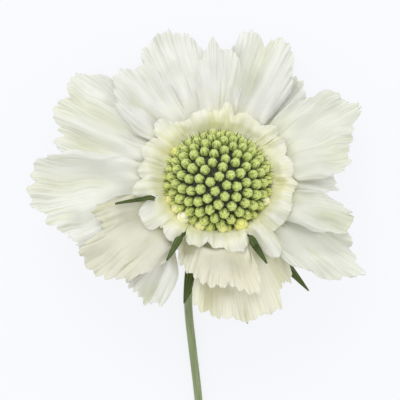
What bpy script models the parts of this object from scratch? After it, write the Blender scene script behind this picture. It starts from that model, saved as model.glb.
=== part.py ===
"""Scabiosa flower: one cut white head on its stem, laid down face up.

The head leans back a little, so that the tips of its far petals and the cut stem lie on the surface.
Sizes in this file are millimetres until a mesh is made, and Blender's metres after that.
The origin is on the surface, under the middle of the whole flower.
"""

import math
import random
from collections import namedtuple

import bmesh
import bpy
from mathutils import Matrix, Vector
from mathutils.bvhtree import BVHTree

MM = 0.001

# Place of the head
HEAD_X = 5.1
HEAD_Y = 37.01
HEAD_HEIGHT = 16.6
HEAD_LEAN = math.radians(24.0)

# Receptacle and disc, radius and height about the head's own axis
DISC_RADIUS = 11.4
DISC_TOP = 8.4
DISC_BOTTOM = -1.2
DISC_STEP = 12
DISC_SIDE = ((DISC_RADIUS, DISC_BOTTOM + 0.6), (DISC_RADIUS - 0.3, DISC_BOTTOM))
BUD_COUNT = 118
BUD_RADIUS = 1.17
BUD_TOP_SHARE = 0.92
BUD_SPREAD = (0.94, 1.04)
BUD_SEED = 7
BUD_LOWEST = 84.0
BUD_SINK = 0.25
BUD_SIDES = 5
BUD_RINGS = ((0.82, -0.9), (1.0, 0.15), (0.62, 0.85))
CUP_TOP = -2.4
CUP_BOTTOM = -8.2
CUP_PROFILE = ((9.2, CUP_TOP), (8.7, -3.8), (6.6, -5.9), (3.6, -7.6), (1.7, CUP_BOTTOM))
CUP_SIDES = 28
SEAT_GAP = 0.3
RIM_BUD_SLOPE = 0.9

# Closing up where pieces meet
SLIVER = 0.01
MERGE = 0.00001

# Petal sheets
BLADE = 0.62
AIR = 0.42
ROOT_RADIUS = 7.6
SLOT_HEIGHT = 0.5 * (DISC_BOTTOM + CUP_TOP)
SLOT_END = 14.4
SPREAD_START = 14.7
RISE_END = 22.0
FAN_HEIGHT = 0.4
COLUMN_ANGLE = 2.5
SHEET_ROWS = 7
RUFFLE_START = 0.35
NOTCH_DEPTH = 1.5
NOTCH_WIDTH = 2.6
VALLEY_RUN = 10.0

# Grid of the inner lobes
COLLAR_COLUMNS = 4
COLLAR_ROWS = 3

# Laying one sheet over another
RING_STEPS = 8
RING_REACH = 1.1
SKY = 100.0
STEEPEST = 0.45
DRAPE_PASSES = 3
FLOOR_LEVEL = 0.5 * BLADE

# Bracts
BRACT_ROOT_RADIUS = 7.6
BRACT_ROOT_HEIGHT = -4.4
BRACT_FALL = 1.6
BRACT_FALL_LENGTH = 24.0
BRACT_TIP = 0.2
BRACT_KEEL = 0.33
BRACT_ROOT_SHARE = 0.35
BRACT_WIDEST = 0.35
BRACT_POINT = 2.2
BRACT_ROWS = 7
FRONT_ROWS = 10
FRONT_WIDTH = 2.0
FRONT_POINT = 2.5
FRONT_SWAY_START = 0.45
FRONT_ROOT_HEIGHT = -3.6
FRONT_TIP_HEIGHT = 1.5
FRONT_RISE_START = 12.4
FRONT_RISE_END = 16.5
FRONT_CLEAR = 15.2
FRONT_TURN_LENGTH = 2.6
FRONT_RING = 0.8

# Stem
STEM_RADIUS = 1.1
STEM_END_RADIUS = 0.85
STEM_LEAD = 1.6
STEM_SIDES_RESOLUTION = 2
STEM_POINTS = 56

# A ray floret: its window at the root, in degrees about the head, and its outline as seen from
# above, each point an angle in degrees and a reach in millimetres from the middle of the head.
# spread is the radius where it reaches its full width, lift is the height of its tip over the fan,
# and pleats and swing are its folds.
Floret = namedtuple("Floret", "name root outline spread lift pleats swing")

# The order is the order in which they lie, the lowest first.
FLORETS = (
    Floret(
        "top_left",
        (102, 116),
        ((92, 26), (97.5, 32.2), (101, 35.4), (104, 36.7), (108, 37.3), (115, 37.0), (120.8, 35.1),
         (124, 30)),
        19.0, -1.0, 3.0, 0.9,
    ),
    Floret(
        "upper_right_low",
        (42, 54),
        ((40, 26), (44, 28.6), (47.5, 29.6), (50.7, 30.9), (54.4, 30.8), (58, 29.5), (64, 26)),
        18.0, -0.8, 2.0, 0.9,
    ),
    Floret(
        "right_small",
        (-7.5, 8),
        ((-8, 23), (-3, 27.6), (-0.5, 27.0), (2.5, 26.9), (6, 25.5), (11, 23)),
        18.0, -1.0, 2.0, 0.8,
    ),
    Floret(
        "bottom_back",
        (281, 291.5),
        ((256.5, 25.5), (258.5, 28.2), (261.5, 29.6), (264.9, 28.6), (271.7, 30.4), (277.3, 30.6),
         (283.4, 31.7), (291.5, 31.4), (297.5, 31.2), (299, 28.4), (303.6, 26.4), (308.8, 27.2),
         (312, 23)),
        17.8, -3.2, 4.0, 1.0,
    ),
    Floret(
        "lower_left",
        (222.5, 233),
        ((219, 27), (226, 30), (230.7, 31.2), (236, 30.6), (238.6, 31.9), (242, 30.7), (245.4, 30.4),
         (246.8, 27)),
        25.0, -1.8, 3.0, 0.9,
    ),
    Floret(
        "upper_left",
        (142, 166),
        ((133, 29), (137.6, 35.5), (141, 42.3), (146, 42.1), (149.8, 40.0), (152.2, 41.9), (157, 41.9),
         (162, 37.8), (164.5, 39.6), (167, 38.2), (171, 35.8), (175, 30)),
        20.0, -0.6, 4.0, 1.1,
    ),
    Floret(
        "upper_right",
        (60, 79),
        ((51, 27), (56.1, 31.3), (60, 35.3), (63.1, 37.1), (69, 36.5), (70.8, 34.6), (74.5, 37.0),
         (77.6, 37.4), (81.5, 34.1), (84.9, 31.2), (89, 27)),
        18.0, -0.6, 3.0, 1.0,
    ),
    Floret(
        "right",
        (12, 38),
        ((1, 24), (6, 28.2), (11, 31.2), (14.2, 30.6), (19.2, 32.9), (24, 34.4), (26.2, 37.2),
         (29.7, 37.6), (32.2, 35.6), (37.7, 34.8), (43.2, 30.6), (48, 26)),
        18.5, -0.6, 4.0, 1.1,
    ),
    Floret(
        "left",
        (169, 188),
        ((166, 32), (171.2, 39.1), (173.5, 42.0), (177.9, 43.3), (179.7, 41.2), (182, 43.8),
         (184.5, 43.0), (187, 42.8), (190, 40.2), (193.3, 40.0), (198, 36.4), (203.4, 35.3),
         (207.5, 34.6), (211, 28)),
        19.0, -0.8, 4.0, 1.1,
    ),
    Floret(
        "lower_left_front",
        (200, 221),
        ((186, 22), (189, 27.4), (192, 29.3), (198, 27.6), (201.5, 28.0), (204.5, 33.4), (207.5, 35.2),
         (212, 35.2), (218, 33.6), (222, 32.2), (228, 30.1), (232, 26), (236, 20)),
        18.5, 0.6, 3.0, 1.2,
    ),
    Floret(
        "upper_left_inner",
        (120, 138),
        ((115, 26), (121, 32.6), (125, 33.1), (131.8, 34.9), (135.5, 34.3), (139.5, 31.2), (143.5, 29),
         (147, 23)),
        18.5, 0.4, 3.0, 1.0,
    ),
    Floret(
        "top",
        (83, 98),
        ((76, 23), (80, 29.3), (86.2, 31.4), (90, 32.4), (91.9, 34.3), (93.5, 32.3), (95.6, 30.7),
         (99, 28.6), (103, 23)),
        18.0, 0.2, 2.0, 0.9,
    ),
    Floret(
        "lower_right",
        (303, 326),
        ((310, 23), (316, 29.4), (321.2, 34.5), (326.4, 38.7), (328.4, 39.1), (330.8, 36.3),
         (334.1, 33.7), (337.2, 32.7), (341, 30), (345, 25)),
        19.0, -0.2, 3.0, 1.1,
    ),
    Floret(
        "right_lower",
        (329.5, 349),
        ((332, 24), (336.5, 28.6), (341, 31.1), (343.5, 30.9), (346.2, 31.7), (348, 30.8),
         (352.3, 27.6), (355, 23)),
        18.5, 1.2, 2.0, 1.1,
    ),
    Floret(
        "bottom_front",
        (246, 273),
        ((231, 15.2), (238, 17.3), (243.5, 19.6), (252, 21.2), (259, 22.4), (268, 23.4), (277, 23.9),
         (283, 25.0), (290, 26.6), (293, 24.5), (294.5, 20)),
        17.4, 1.6, 3.0, 1.2,
    ),
)

# Bracts under the petals, each an angle in degrees, its reach in millimetres from the head's axis
# and its width
UNDER_BRACTS = (
    (20, 26, 3.6), (52, 22, 3.6), (80, 27, 3.6), (112, 25, 3.6), (147, 27, 3.6), (178, 24, 3.6),
    (222, 20, 3.6), (254.2, 28.6, 5.6), (281.7, 32.9, 3.8), (310.5, 31.9, 3.6), (342, 25, 3.6),
)

# Bracts that come up between the petals on their edge: the angles at root and tip, the reach, and
# how far they turn flat after that, from 0 to 1
FRONT_BRACTS = (
    (195.5, 194.1, 24.2, 0.0), (238.3, 239.7, 23.0, 0.9), (297.0, 298.0, 23.4, 0.8),
)

# Larger florets opening along the rim of the disc: angle, radius, height and own radius
RIM_BUDS = (
    (295, 12.2, 1.5, 1.6), (275, 11.9, 1.3, 1.2), (334, 11.9, 1.5, 1.2), (204, 11.9, 1.3, 1.15),
    (217, 11.8, 1.5, 1.25), (230, 12.2, 1.5, 1.6), (250, 11.9, 1.3, 1.3), (144, 11.9, 1.5, 1.2),
    (95, 11.9, 1.5, 1.2),
)

# Small inner lobes of the florets, which stand round the disc in frilled collars. Each collar has
# a name, the angles where it starts and ends, a number of lobes, and the radius of its notches and
# of its longest lobes.
Collar = namedtuple("Collar", "name start end lobes notch reach")
COLLARS = (
    Collar("top", -57.0, 189.0, 15, 16.6, 20.2),
    Collar("left", 201.5, 233.0, 2, 15.8, 18.0),
    Collar("bottom", 245.5, 290.5, 3, 15.0, 16.6),
)
COLLAR_ROOT = 13.4
COLLAR_ROOT_HEIGHT = -0.5
COLLAR_TIP_HEIGHT = 1.6
COLLAR_RUFFLE = 0.7
COLLAR_BEND = 0.9
COLLAR_BEND_TURN = 2.6
COLLAR_ROUND = 0.6
COLLAR_UNEVEN = 0.5
COLLAR_UNEVEN_TURNS = (2.3, 0.9)

# Stem, the middle line after it leaves the cup, about the head's place, as seen from above
STEM_ROUTE = (
    (-1.0, -6.2, 4.4), (-2.9, -9.6, 2.0), (-5.0, -14.5, 1.15), (-6.6, -21.5, 1.1), (-6.9, -29.0, 1.1),
    (-6.0, -38.0, 1.08), (-4.6, -50.0, 1.05), (-3.4, -64.0, 1.0), (-3.0, -79.0, 0.96),
    (-4.4, -95.0, 0.92), (-7.0, -110.0, STEM_END_RADIUS),
)

# Colours of the real thing: petals, disc buds, bracts and stem
PETAL_COLOUR = (0.80, 0.82, 0.74, 1.0)
DISC_COLOUR = (0.24, 0.32, 0.07, 1.0)
BRACT_COLOUR = (0.09, 0.15, 0.04, 1.0)
STEM_COLOUR = (0.22, 0.28, 0.12, 1.0)
PETAL_ROUGHNESS = 0.55
GREEN_ROUGHNESS = 0.5


def clear_scene():
    for obj in list(bpy.data.objects):
        bpy.data.objects.remove(obj, do_unlink=True)


def make_collection(name):
    collection = bpy.data.collections.new(name)
    bpy.context.scene.collection.children.link(collection)
    return collection


def make_material(name, colour, roughness):
    material = bpy.data.materials.new(name)
    material.use_nodes = True
    shader = material.node_tree.nodes["Principled BSDF"]
    shader.inputs["Base Color"].default_value = colour
    shader.inputs["Roughness"].default_value = roughness
    shader.inputs["Metallic"].default_value = 0.0
    return material


def head_matrix():
    """From the head's own frame, with its axis along Z, to the flower as it lies, in millimetres."""
    place = Matrix.Translation((HEAD_X, HEAD_Y, HEAD_HEIGHT))
    return place @ Matrix.Rotation(-HEAD_LEAN, 4, "X")


def smooth_step(start, end, value):
    share = min(max((value - start) / (end - start), 0.0), 1.0)
    return share * share * (3.0 - 2.0 * share)


def between(points, value):
    """Straight lines through (place, amount) points, read at one place."""
    for (left, low), (right, high) in zip(points, points[1:]):
        if value <= right:
            share = (value - left) / (right - left)
            return low + (high - low) * min(max(share, 0.0), 1.0)
    return points[-1][1]


def polar(radius, angle, height):
    return Vector((radius * math.cos(angle), radius * math.sin(angle), height))


def fan_height(radius):
    """The common rise of the petals, out of the slot under the disc and then level."""
    return SLOT_HEIGHT + (FAN_HEIGHT - SLOT_HEIGHT) * smooth_step(SLOT_END, RISE_END, radius)


def edge_width(floret):
    """Length of a floret's edge in millimetres, from its mean reach."""
    reach = sum(point[1] for point in floret.outline) / len(floret.outline)
    return reach * math.radians(floret.outline[-1][0] - floret.outline[0][0])


def notches(floret):
    """Shares across the floret where its outline dips between two lobes."""
    first = floret.outline[0][0]
    width = floret.outline[-1][0] - first
    dips = []
    for (_, before), (angle, reach), (_, after) in zip(floret.outline, floret.outline[1:],
                                                      floret.outline[2:]):
        if reach < before and reach < after:
            dips.append((angle - first) / width)
    return dips


def valley(floret, share):
    """Depth of the creases that run in from the notches between the lobes."""
    width = edge_width(floret)
    return sum(NOTCH_DEPTH * math.exp(-((share - dip) * width / NOTCH_WIDTH) ** 2)
               for dip in notches(floret))


def floret_tip(floret, share):
    """Angle and radius of the edge in the head's frame, at a share of the way across the outline."""
    first = floret.outline[0][0]
    last = floret.outline[-1][0]
    seen_angle = first + (last - first) * share
    reach = between(floret.outline, seen_angle)
    x = reach * math.cos(math.radians(seen_angle))
    y = reach * math.sin(math.radians(seen_angle))
    tip_height = FAN_HEIGHT + floret.lift
    y = (y - tip_height * math.sin(HEAD_LEAN)) / math.cos(HEAD_LEAN)
    angle = math.degrees(math.atan2(y, x))
    angle += 360.0 * round((seen_angle - angle) / 360.0)
    return angle, math.hypot(x, y)


def floret_point(floret, share, out):
    """A point of the sheet in the head's frame: share goes across it and out from root to edge."""
    edge_angle, edge_radius = floret_tip(floret, share)
    radius = ROOT_RADIUS + (edge_radius - ROOT_RADIUS) * out
    root_angle = floret.root[0] + (floret.root[1] - floret.root[0]) * share
    spread = smooth_step(SPREAD_START, floret.spread, radius)
    angle = math.radians(root_angle + (edge_angle - root_angle) * spread)
    fold = smooth_step(RUFFLE_START, 1.0, out)
    wave = math.cos(2.0 * math.pi * floret.pleats * share + len(floret.name))
    height = fan_height(radius) + floret.lift * fold + floret.swing * fold * wave
    height -= valley(floret, share) * smooth_step(floret.spread, floret.spread + VALLEY_RUN, radius)
    return polar(radius, angle, height)


def sheet_grid(floret):
    """The sheet's points in world millimetres, a list of rows from the root to the edge."""
    to_world = head_matrix()
    width = floret.outline[-1][0] - floret.outline[0][0]
    columns = round(width / COLUMN_ANGLE)
    rows = []
    for row in range(SHEET_ROWS + 1):
        out = row / SHEET_ROWS
        rows.append([to_world @ floret_point(floret, c / columns, out) for c in range(columns + 1)])
    return rows


def grid_triangles(rows, columns):
    """Faces of a grid, each square cut along the diagonal that alternates like a chequerboard."""
    faces = []
    for row in range(rows):
        for column in range(columns):
            a = row * (columns + 1) + column
            b = a + 1
            c = b + columns + 1
            d = a + columns + 1
            if (row + column) % 2:
                faces.extend(((a, b, c), (a, c, d)))
            else:
                faces.extend(((a, b, d), (b, c, d)))
    return faces


def level_over(trees, x, y, reach):
    """Lowest place that a sheet may take over the placed sheets, from a small ring about one place."""
    level = None
    for step in range(RING_STEPS + 1):
        turn = step * 2.0 * math.pi / RING_STEPS
        away = reach if step < RING_STEPS else 0.0
        start = Vector((x + away * math.cos(turn), y + away * math.sin(turn), SKY))
        for tree in trees:
            hit, normal, _, _ = tree.ray_cast(start, Vector((0.0, 0.0, -1.0)))
            if hit is not None:
                over = hit.z + (BLADE + AIR) / max(abs(normal.z), STEEPEST)
                level = over if level is None else max(level, over)
    return level


def past_radius(points, radius):
    """Numbers of the points that lie further than a radius from the head's axis."""
    to_head = head_matrix().inverted()
    return {i for i, point in enumerate(points) if (to_head @ point).xy.length > radius}


def drape(points, faces, placed, held):
    """Lifts a sheet over the ones already placed and over the surface that the flower lies on.

    What lies within the held radius stays where it is, as in the slot between the disc and the cup.
    """
    trees = [tree for tree, _ in placed]
    free = past_radius(points, held)
    for _ in range(DRAPE_PASSES):
        for index in free:
            point = points[index]
            point.z = max(point.z, FLOOR_LEVEL)
            level = level_over(trees, point.x, point.y, RING_REACH)
            if level is not None:
                point.z = max(point.z, level)
        tree = BVHTree.FromPolygons(points, faces)
        for _, low_points in placed:
            for low in low_points:
                start = Vector((low.x, low.y, -SKY))
                hit, normal, face, _ = tree.ray_cast(start, Vector((0.0, 0.0, 1.0)))
                if hit is not None:
                    need = low.z + (BLADE + AIR) / max(abs(normal.z), STEEPEST) - hit.z
                    if need > 0.0:
                        for corner in free.intersection(faces[face]):
                            points[corner].z += need


def sheet_mesh(name, points, faces):
    mesh = bpy.data.meshes.new(name)
    mesh.from_pydata([point * MM for point in points], [], faces)
    mesh.validate()
    return mesh


def add_object(name, mesh, collection, material):
    obj = bpy.data.objects.new(name, mesh)
    collection.objects.link(obj)
    if material is not None:
        mesh.materials.clear()
        mesh.materials.append(material)
    return obj


def thicken(obj, thickness):
    """Gives an open sheet its thickness, half on each side of it."""
    solidify = obj.modifiers.new("Blade", "SOLIDIFY")
    solidify.thickness = thickness * MM
    solidify.offset = 0.0
    return solidify


def apply_modifiers(obj):
    depsgraph = bpy.context.evaluated_depsgraph_get()
    mesh = bpy.data.meshes.new_from_object(obj.evaluated_get(depsgraph))
    obj.modifiers.clear()
    obj.data = mesh


def drop_slivers(mesh):
    """Closes up the hair-thin triangles that joining leaves."""
    shape = bmesh.new()
    shape.from_mesh(mesh)
    bmesh.ops.triangulate(shape, faces=shape.faces)
    bmesh.ops.dissolve_degenerate(shape, dist=SLIVER * MM, edges=shape.edges)
    bmesh.ops.triangulate(shape, faces=shape.faces)
    shape.to_mesh(mesh)
    shape.free()


def build_floret(floret, collection, material, placed):
    rows = sheet_grid(floret)
    columns = len(rows[0]) - 1
    points = [point for row in rows for point in row]
    faces = grid_triangles(SHEET_ROWS, columns)
    drape(points, faces, placed, SLOT_END)
    placed.append((BVHTree.FromPolygons(points, faces), points))
    obj = add_object("ray_floret_" + floret.name, sheet_mesh(floret.name, points, faces), collection,
                     material)
    thicken(obj, BLADE)
    return obj


def collar_edge(collar, turns):
    """Radius of a collar's edge, after a number of lobes, each as long as two waves make it."""
    quick, slow = COLLAR_UNEVEN_TURNS
    lobe = abs(math.sin(math.pi * turns)) ** COLLAR_ROUND
    length = 1.0 - COLLAR_UNEVEN * (0.5 - 0.5 * math.sin(quick * turns) * math.cos(slow * turns))
    return collar.notch + (collar.reach - collar.notch) * lobe * length


def collar_point(collar, turns, out):
    """A point of a collar in the head's frame: turns counts lobes, out goes from root to edge."""
    radius = COLLAR_ROOT + (collar_edge(collar, turns) - COLLAR_ROOT) * out
    share = turns / collar.lobes
    shift = COLLAR_BEND * math.sin(COLLAR_BEND_TURN * turns) * share * (1.0 - share)
    pitch = (collar.end - collar.start) / collar.lobes
    angle = math.radians(collar.start + pitch * (turns + shift))
    height = COLLAR_ROOT_HEIGHT + (COLLAR_TIP_HEIGHT - COLLAR_ROOT_HEIGHT) * smooth_step(0.0, 1.0, out)
    height -= COLLAR_RUFFLE * out * math.cos(2.0 * math.pi * turns)
    return polar(radius, angle, height)


def build_collar(collar, collection, material, placed):
    to_world = head_matrix()
    columns = collar.lobes * COLLAR_COLUMNS
    rows = [[to_world @ collar_point(collar, c / COLLAR_COLUMNS, r / COLLAR_ROWS)
             for c in range(columns + 1)] for r in range(COLLAR_ROWS + 1)]
    points = [point for row in rows for point in row]
    faces = grid_triangles(COLLAR_ROWS, columns)
    drape(points, faces, placed, COLLAR_ROOT - SEAT_GAP)
    placed.append((BVHTree.FromPolygons(points, faces), points))
    name = "inner_lobes_" + collar.name
    obj = add_object(name, sheet_mesh(name, points, faces), collection, material)
    thicken(obj, BLADE)
    return obj


def bract_width(width, out):
    """A lance head: narrow at the root, widest a third of the way out, and pointed."""
    wide = BRACT_ROOT_SHARE + (1.0 - BRACT_ROOT_SHARE) * smooth_step(0.0, BRACT_WIDEST, out)
    return width * wide * (1.0 - out ** BRACT_POINT) + BRACT_TIP


def under_height(radius):
    """Bracts under the petals: level, then falling a little towards the tip."""
    share = max(radius - BRACT_ROOT_RADIUS, 0.0) / BRACT_FALL_LENGTH
    return BRACT_ROOT_HEIGHT - BRACT_FALL * share * share


def build_under_bract(angle, reach, width):
    """Points and faces of a bract under the petals, from its root inside the cup, keeled in the middle."""
    to_world = head_matrix()
    turn = math.radians(angle)
    side = Vector((-math.sin(turn), math.cos(turn), 0.0))
    points = []
    for row in range(BRACT_ROWS + 1):
        out = row / BRACT_ROWS
        radius = BRACT_ROOT_RADIUS + (reach - BRACT_ROOT_RADIUS) * out
        middle = polar(radius, turn, under_height(radius))
        half = 0.5 * bract_width(width, out)
        keel = Vector((0.0, 0.0, BRACT_KEEL * half))
        points.extend(to_world @ point for point in (middle - side * half, middle - keel,
                                                     middle + side * half))
    return points, grid_triangles(BRACT_ROWS, 2)


def build_front_bract(bract, placed):
    """A bract that comes up on its edge between two petals, and then lies over them."""
    root_angle, tip_angle, reach, flat = bract
    to_world = head_matrix()
    trees = [tree for tree, _ in placed]
    points = []
    for row in range(FRONT_ROWS + 1):
        out = row / FRONT_ROWS
        radius = BRACT_ROOT_RADIUS + (reach - BRACT_ROOT_RADIUS) * out
        sway = smooth_step(FRONT_SWAY_START, 1.0, out)
        angle = math.radians(root_angle + (tip_angle - root_angle) * sway)
        rise = smooth_step(FRONT_RISE_START, FRONT_RISE_END, radius)
        height = FRONT_ROOT_HEIGHT + (FRONT_TIP_HEIGHT - FRONT_ROOT_HEIGHT) * rise
        half = 0.5 * FRONT_WIDTH * (1.0 - out ** FRONT_POINT) + BRACT_TIP
        turn = 0.5 * math.pi * flat * smooth_step(FRONT_CLEAR, FRONT_CLEAR + FRONT_TURN_LENGTH, radius)
        edge = Vector((-math.sin(angle) * math.sin(turn), math.cos(angle) * math.sin(turn),
                       math.cos(turn))) * half
        middle = polar(radius, angle, height)
        across = [to_world @ point for point in (middle - edge, middle, middle + edge)]
        if radius > FRONT_CLEAR:
            lift = 0.0
            for point in across:
                level = level_over(trees, point.x, point.y, FRONT_RING)
                if level is not None:
                    lift = max(lift, level - point.z)
            for point in across:
                point.z += lift
        points.extend(across)
    return points, grid_triangles(FRONT_ROWS, 2)


def union(name, pieces, collection, material):
    """Joins pieces that grow out of one another into one closed body."""
    loose = make_collection(name + "_pieces")
    for piece in pieces[1:]:
        collection.objects.unlink(piece)
        loose.objects.link(piece)
    body = pieces[0]
    joined = body.modifiers.new("Grown together", "BOOLEAN")
    joined.operation = "UNION"
    joined.operand_type = "COLLECTION"
    joined.collection = loose
    joined.solver = "MANIFOLD"
    apply_modifiers(body)
    for piece in pieces[1:]:
        bpy.data.objects.remove(piece, do_unlink=True)
    bpy.data.collections.remove(loose)
    drop_slivers(body.data)
    body.name = name
    body.data.materials.clear()
    body.data.materials.append(material)
    return body


def turned(name, profile, sides, collection):
    """A closed turned body about the head's axis, from (radius, height) points, top to bottom."""
    mesh = bpy.data.meshes.new(name)
    points = [Vector((0.0, 0.0, profile[0][1])) * MM]
    points += [Vector((radius, 0.0, height)) * MM for radius, height in profile]
    points += [Vector((0.0, 0.0, profile[-1][1])) * MM]
    mesh.from_pydata(points, [(i, i + 1) for i in range(len(points) - 1)], [])
    obj = add_object(name, mesh, collection, None)
    screw = obj.modifiers.new("Turn", "SCREW")
    screw.steps = sides
    screw.render_steps = sides
    screw.use_merge_vertices = True
    screw.merge_threshold = MERGE
    obj.matrix_world = head_in_metres()
    return obj


def head_in_metres():
    matrix = head_matrix()
    matrix.translation *= MM
    return matrix


def dome_radius(height):
    share = (height - DISC_BOTTOM) / (DISC_TOP - DISC_BOTTOM)
    return DISC_RADIUS * math.sqrt(max(1.0 - share * share, 0.0))


def disc_profile():
    """The dome from near its top, in steps of an angle, and its short upright side."""
    heights = [DISC_BOTTOM + (DISC_TOP - DISC_BOTTOM) * math.cos(math.radians(angle))
               for angle in range(DISC_STEP, round(BUD_LOWEST), DISC_STEP)]
    return tuple((dome_radius(height), height) for height in heights) + DISC_SIDE


def bud_places():
    """Buds on the dome in the spirals of the golden angle, from the top down: place, way and size."""
    golden = math.pi * (3.0 - math.sqrt(5.0))
    chance = random.Random(BUD_SEED)
    places = []
    height = DISC_TOP - DISC_BOTTOM
    for index in range(BUD_COUNT):
        share = (index + 0.5) / BUD_COUNT
        polar_angle = math.acos(1.0 - share * (1.0 - math.cos(math.radians(BUD_LOWEST))))
        turn = index * golden
        out = math.sin(polar_angle)
        up = math.cos(polar_angle)
        place = Vector((DISC_RADIUS * out * math.cos(turn), DISC_RADIUS * out * math.sin(turn),
                        DISC_BOTTOM + height * up))
        way = Vector((out * math.cos(turn) / DISC_RADIUS, out * math.sin(turn) / DISC_RADIUS,
                      up / height)).normalized()
        size = BUD_RADIUS * (BUD_TOP_SHARE + (1.0 - BUD_TOP_SHARE) * share) * chance.uniform(*BUD_SPREAD)
        places.append((place, way, size))
    for angle, radius, height, size in RIM_BUDS:
        turn = math.radians(angle)
        way = Vector((math.cos(turn), math.sin(turn), RIM_BUD_SLOPE)).normalized()
        places.append((polar(radius, turn, height), way, size))
    return places


def bud_mesh(name, place, way, size):
    """A small faceted bud with its foot inside the dome."""
    shape = bmesh.new()
    turn = way.to_track_quat("Z", "Y").to_matrix()
    loops = []
    for radius, height in BUD_RINGS:
        ring = []
        for side in range(BUD_SIDES):
            angle = 2.0 * math.pi * side / BUD_SIDES
            local = Vector((radius * math.cos(angle), radius * math.sin(angle), height)) * size
            ring.append(shape.verts.new((place + turn @ local) * MM))
        loops.append(ring)
    for low, high in zip(loops, loops[1:]):
        for side in range(BUD_SIDES):
            after = (side + 1) % BUD_SIDES
            shape.faces.new((low[side], low[after], high[after], high[side]))
    shape.faces.new(list(reversed(loops[0])))
    shape.faces.new(loops[-1])
    mesh = bpy.data.meshes.new(name)
    shape.to_mesh(mesh)
    shape.free()
    return mesh


def build_disc(collection, material):
    core = turned("disc", disc_profile(), CUP_SIDES, collection)
    pieces = [core]
    for place, way, size in bud_places():
        bud = add_object("bud", bud_mesh("bud", place - way * BUD_SINK, way, size), collection, None)
        bud.matrix_world = head_in_metres()
        pieces.append(bud)
    bpy.context.view_layer.update()
    return union("disc", pieces, collection, material)


def build_involucre(collection, material, sheets):
    pieces = [turned("involucre", CUP_PROFILE, CUP_SIDES, collection)]
    for points, faces in sheets:
        bract = add_object("bract", sheet_mesh("bract", points, faces), collection, None)
        thicken(bract, BLADE)
        apply_modifiers(bract)
        pieces.append(bract)
    bpy.context.view_layer.update()
    return union("involucre", pieces, collection, material)


def spline_point(points, share):
    """Catmull-Rom curve through the points, at a share of the way along them."""
    spans = len(points) - 1
    place = min(max(share, 0.0), 1.0) * spans
    span = min(int(place), spans - 1)
    t = place - span
    before = points[max(span - 1, 0)]
    start = points[span]
    end = points[span + 1]
    after = points[min(span + 2, spans)]
    return 0.5 * (2.0 * start + (end - before) * t
                  + (2.0 * before - 5.0 * start + 4.0 * end - after) * t * t
                  + (3.0 * start - before - 3.0 * end + after) * t * t * t)


def stem_points():
    """The stem's middle line in world millimetres, from the cup to the cut end."""
    to_world = head_matrix()
    head = Vector((HEAD_X, HEAD_Y, 0.0))
    route = [to_world @ Vector((0.0, 0.0, CUP_BOTTOM - SEAT_GAP)),
             to_world @ Vector((0.0, 0.0, CUP_BOTTOM - SEAT_GAP - STEM_LEAD))]
    route += [head + Vector(point) for point in STEM_ROUTE]
    return [spline_point(route, step / STEM_POINTS) for step in range(STEM_POINTS + 1)]


def build_stem(collection, material):
    points = stem_points()
    curve = bpy.data.curves.new("stem", "CURVE")
    curve.dimensions = "3D"
    curve.bevel_depth = STEM_RADIUS * MM
    curve.bevel_resolution = STEM_SIDES_RESOLUTION
    curve.use_fill_caps = True
    spline = curve.splines.new("POLY")
    spline.points.add(len(points) - 1)
    for index, point in enumerate(points):
        share = index / (len(points) - 1)
        spline.points[index].co = (*(point * MM), 1.0)
        spline.points[index].radius = 1.0 + (STEM_END_RADIUS / STEM_RADIUS - 1.0) * share
    obj = bpy.data.objects.new("stem", curve)
    collection.objects.link(obj)
    curve.materials.append(material)
    return obj


def main():
    clear_scene()
    flower = make_collection("scabiosa_flower")
    petal = make_material("ray floret petal", PETAL_COLOUR, PETAL_ROUGHNESS)
    green_bud = make_material("disc bud", DISC_COLOUR, GREEN_ROUGHNESS)
    green_leaf = make_material("bract leaf", BRACT_COLOUR, GREEN_ROUGHNESS)
    stalk = make_material("stem stalk", STEM_COLOUR, GREEN_ROUGHNESS)

    bracts = [build_under_bract(*bract) for bract in UNDER_BRACTS]
    placed = [(BVHTree.FromPolygons(points, faces), points) for points, faces in bracts]
    for floret in FLORETS:
        build_floret(floret, flower, petal, placed)
    for collar in COLLARS:
        build_collar(collar, flower, petal, placed)
    bracts += [build_front_bract(bract, placed) for bract in FRONT_BRACTS]
    build_involucre(flower, green_leaf, bracts)
    build_disc(flower, green_bud)
    build_stem(flower, stalk)


main()
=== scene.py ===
"""Scabiosa flower: the looks of one cut white head on its stem, seen from above as it lies.

The florets, buds, bracts and stem are built again, finer, from the sizes that the solids are made of.
Sizes are millimetres until a mesh is made, and metres after that.
"""

import math
import random
from collections import namedtuple

import bpy
import numpy
from bpy.props import FloatProperty, FloatVectorProperty, IntProperty, PointerProperty
from mathutils import Matrix, Vector, noise
from mathutils.bvhtree import BVHTree


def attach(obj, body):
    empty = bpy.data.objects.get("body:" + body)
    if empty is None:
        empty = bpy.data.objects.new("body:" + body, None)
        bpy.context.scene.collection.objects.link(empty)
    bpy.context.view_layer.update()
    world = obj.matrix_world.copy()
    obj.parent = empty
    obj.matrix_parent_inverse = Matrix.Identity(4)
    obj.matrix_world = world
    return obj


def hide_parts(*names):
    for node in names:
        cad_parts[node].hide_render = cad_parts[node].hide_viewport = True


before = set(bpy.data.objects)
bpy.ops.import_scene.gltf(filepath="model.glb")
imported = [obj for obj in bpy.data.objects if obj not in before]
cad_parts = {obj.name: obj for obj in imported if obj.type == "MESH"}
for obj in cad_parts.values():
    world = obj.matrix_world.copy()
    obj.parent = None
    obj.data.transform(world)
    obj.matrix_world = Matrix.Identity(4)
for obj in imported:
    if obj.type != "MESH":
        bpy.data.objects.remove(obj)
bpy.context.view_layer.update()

bl_info = {
    "name": "Scabiosa Flower",
    "version": (1, 0, 0),
    "blender": (4, 5, 0),
    "location": "View3D > Sidebar > Scabiosa",
    "description": "Builds a cut scabiosa flower with ruffled florets, a bud disc, bracts and a stem",
    "category": "Add Mesh",
}

MM = 0.001

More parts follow.
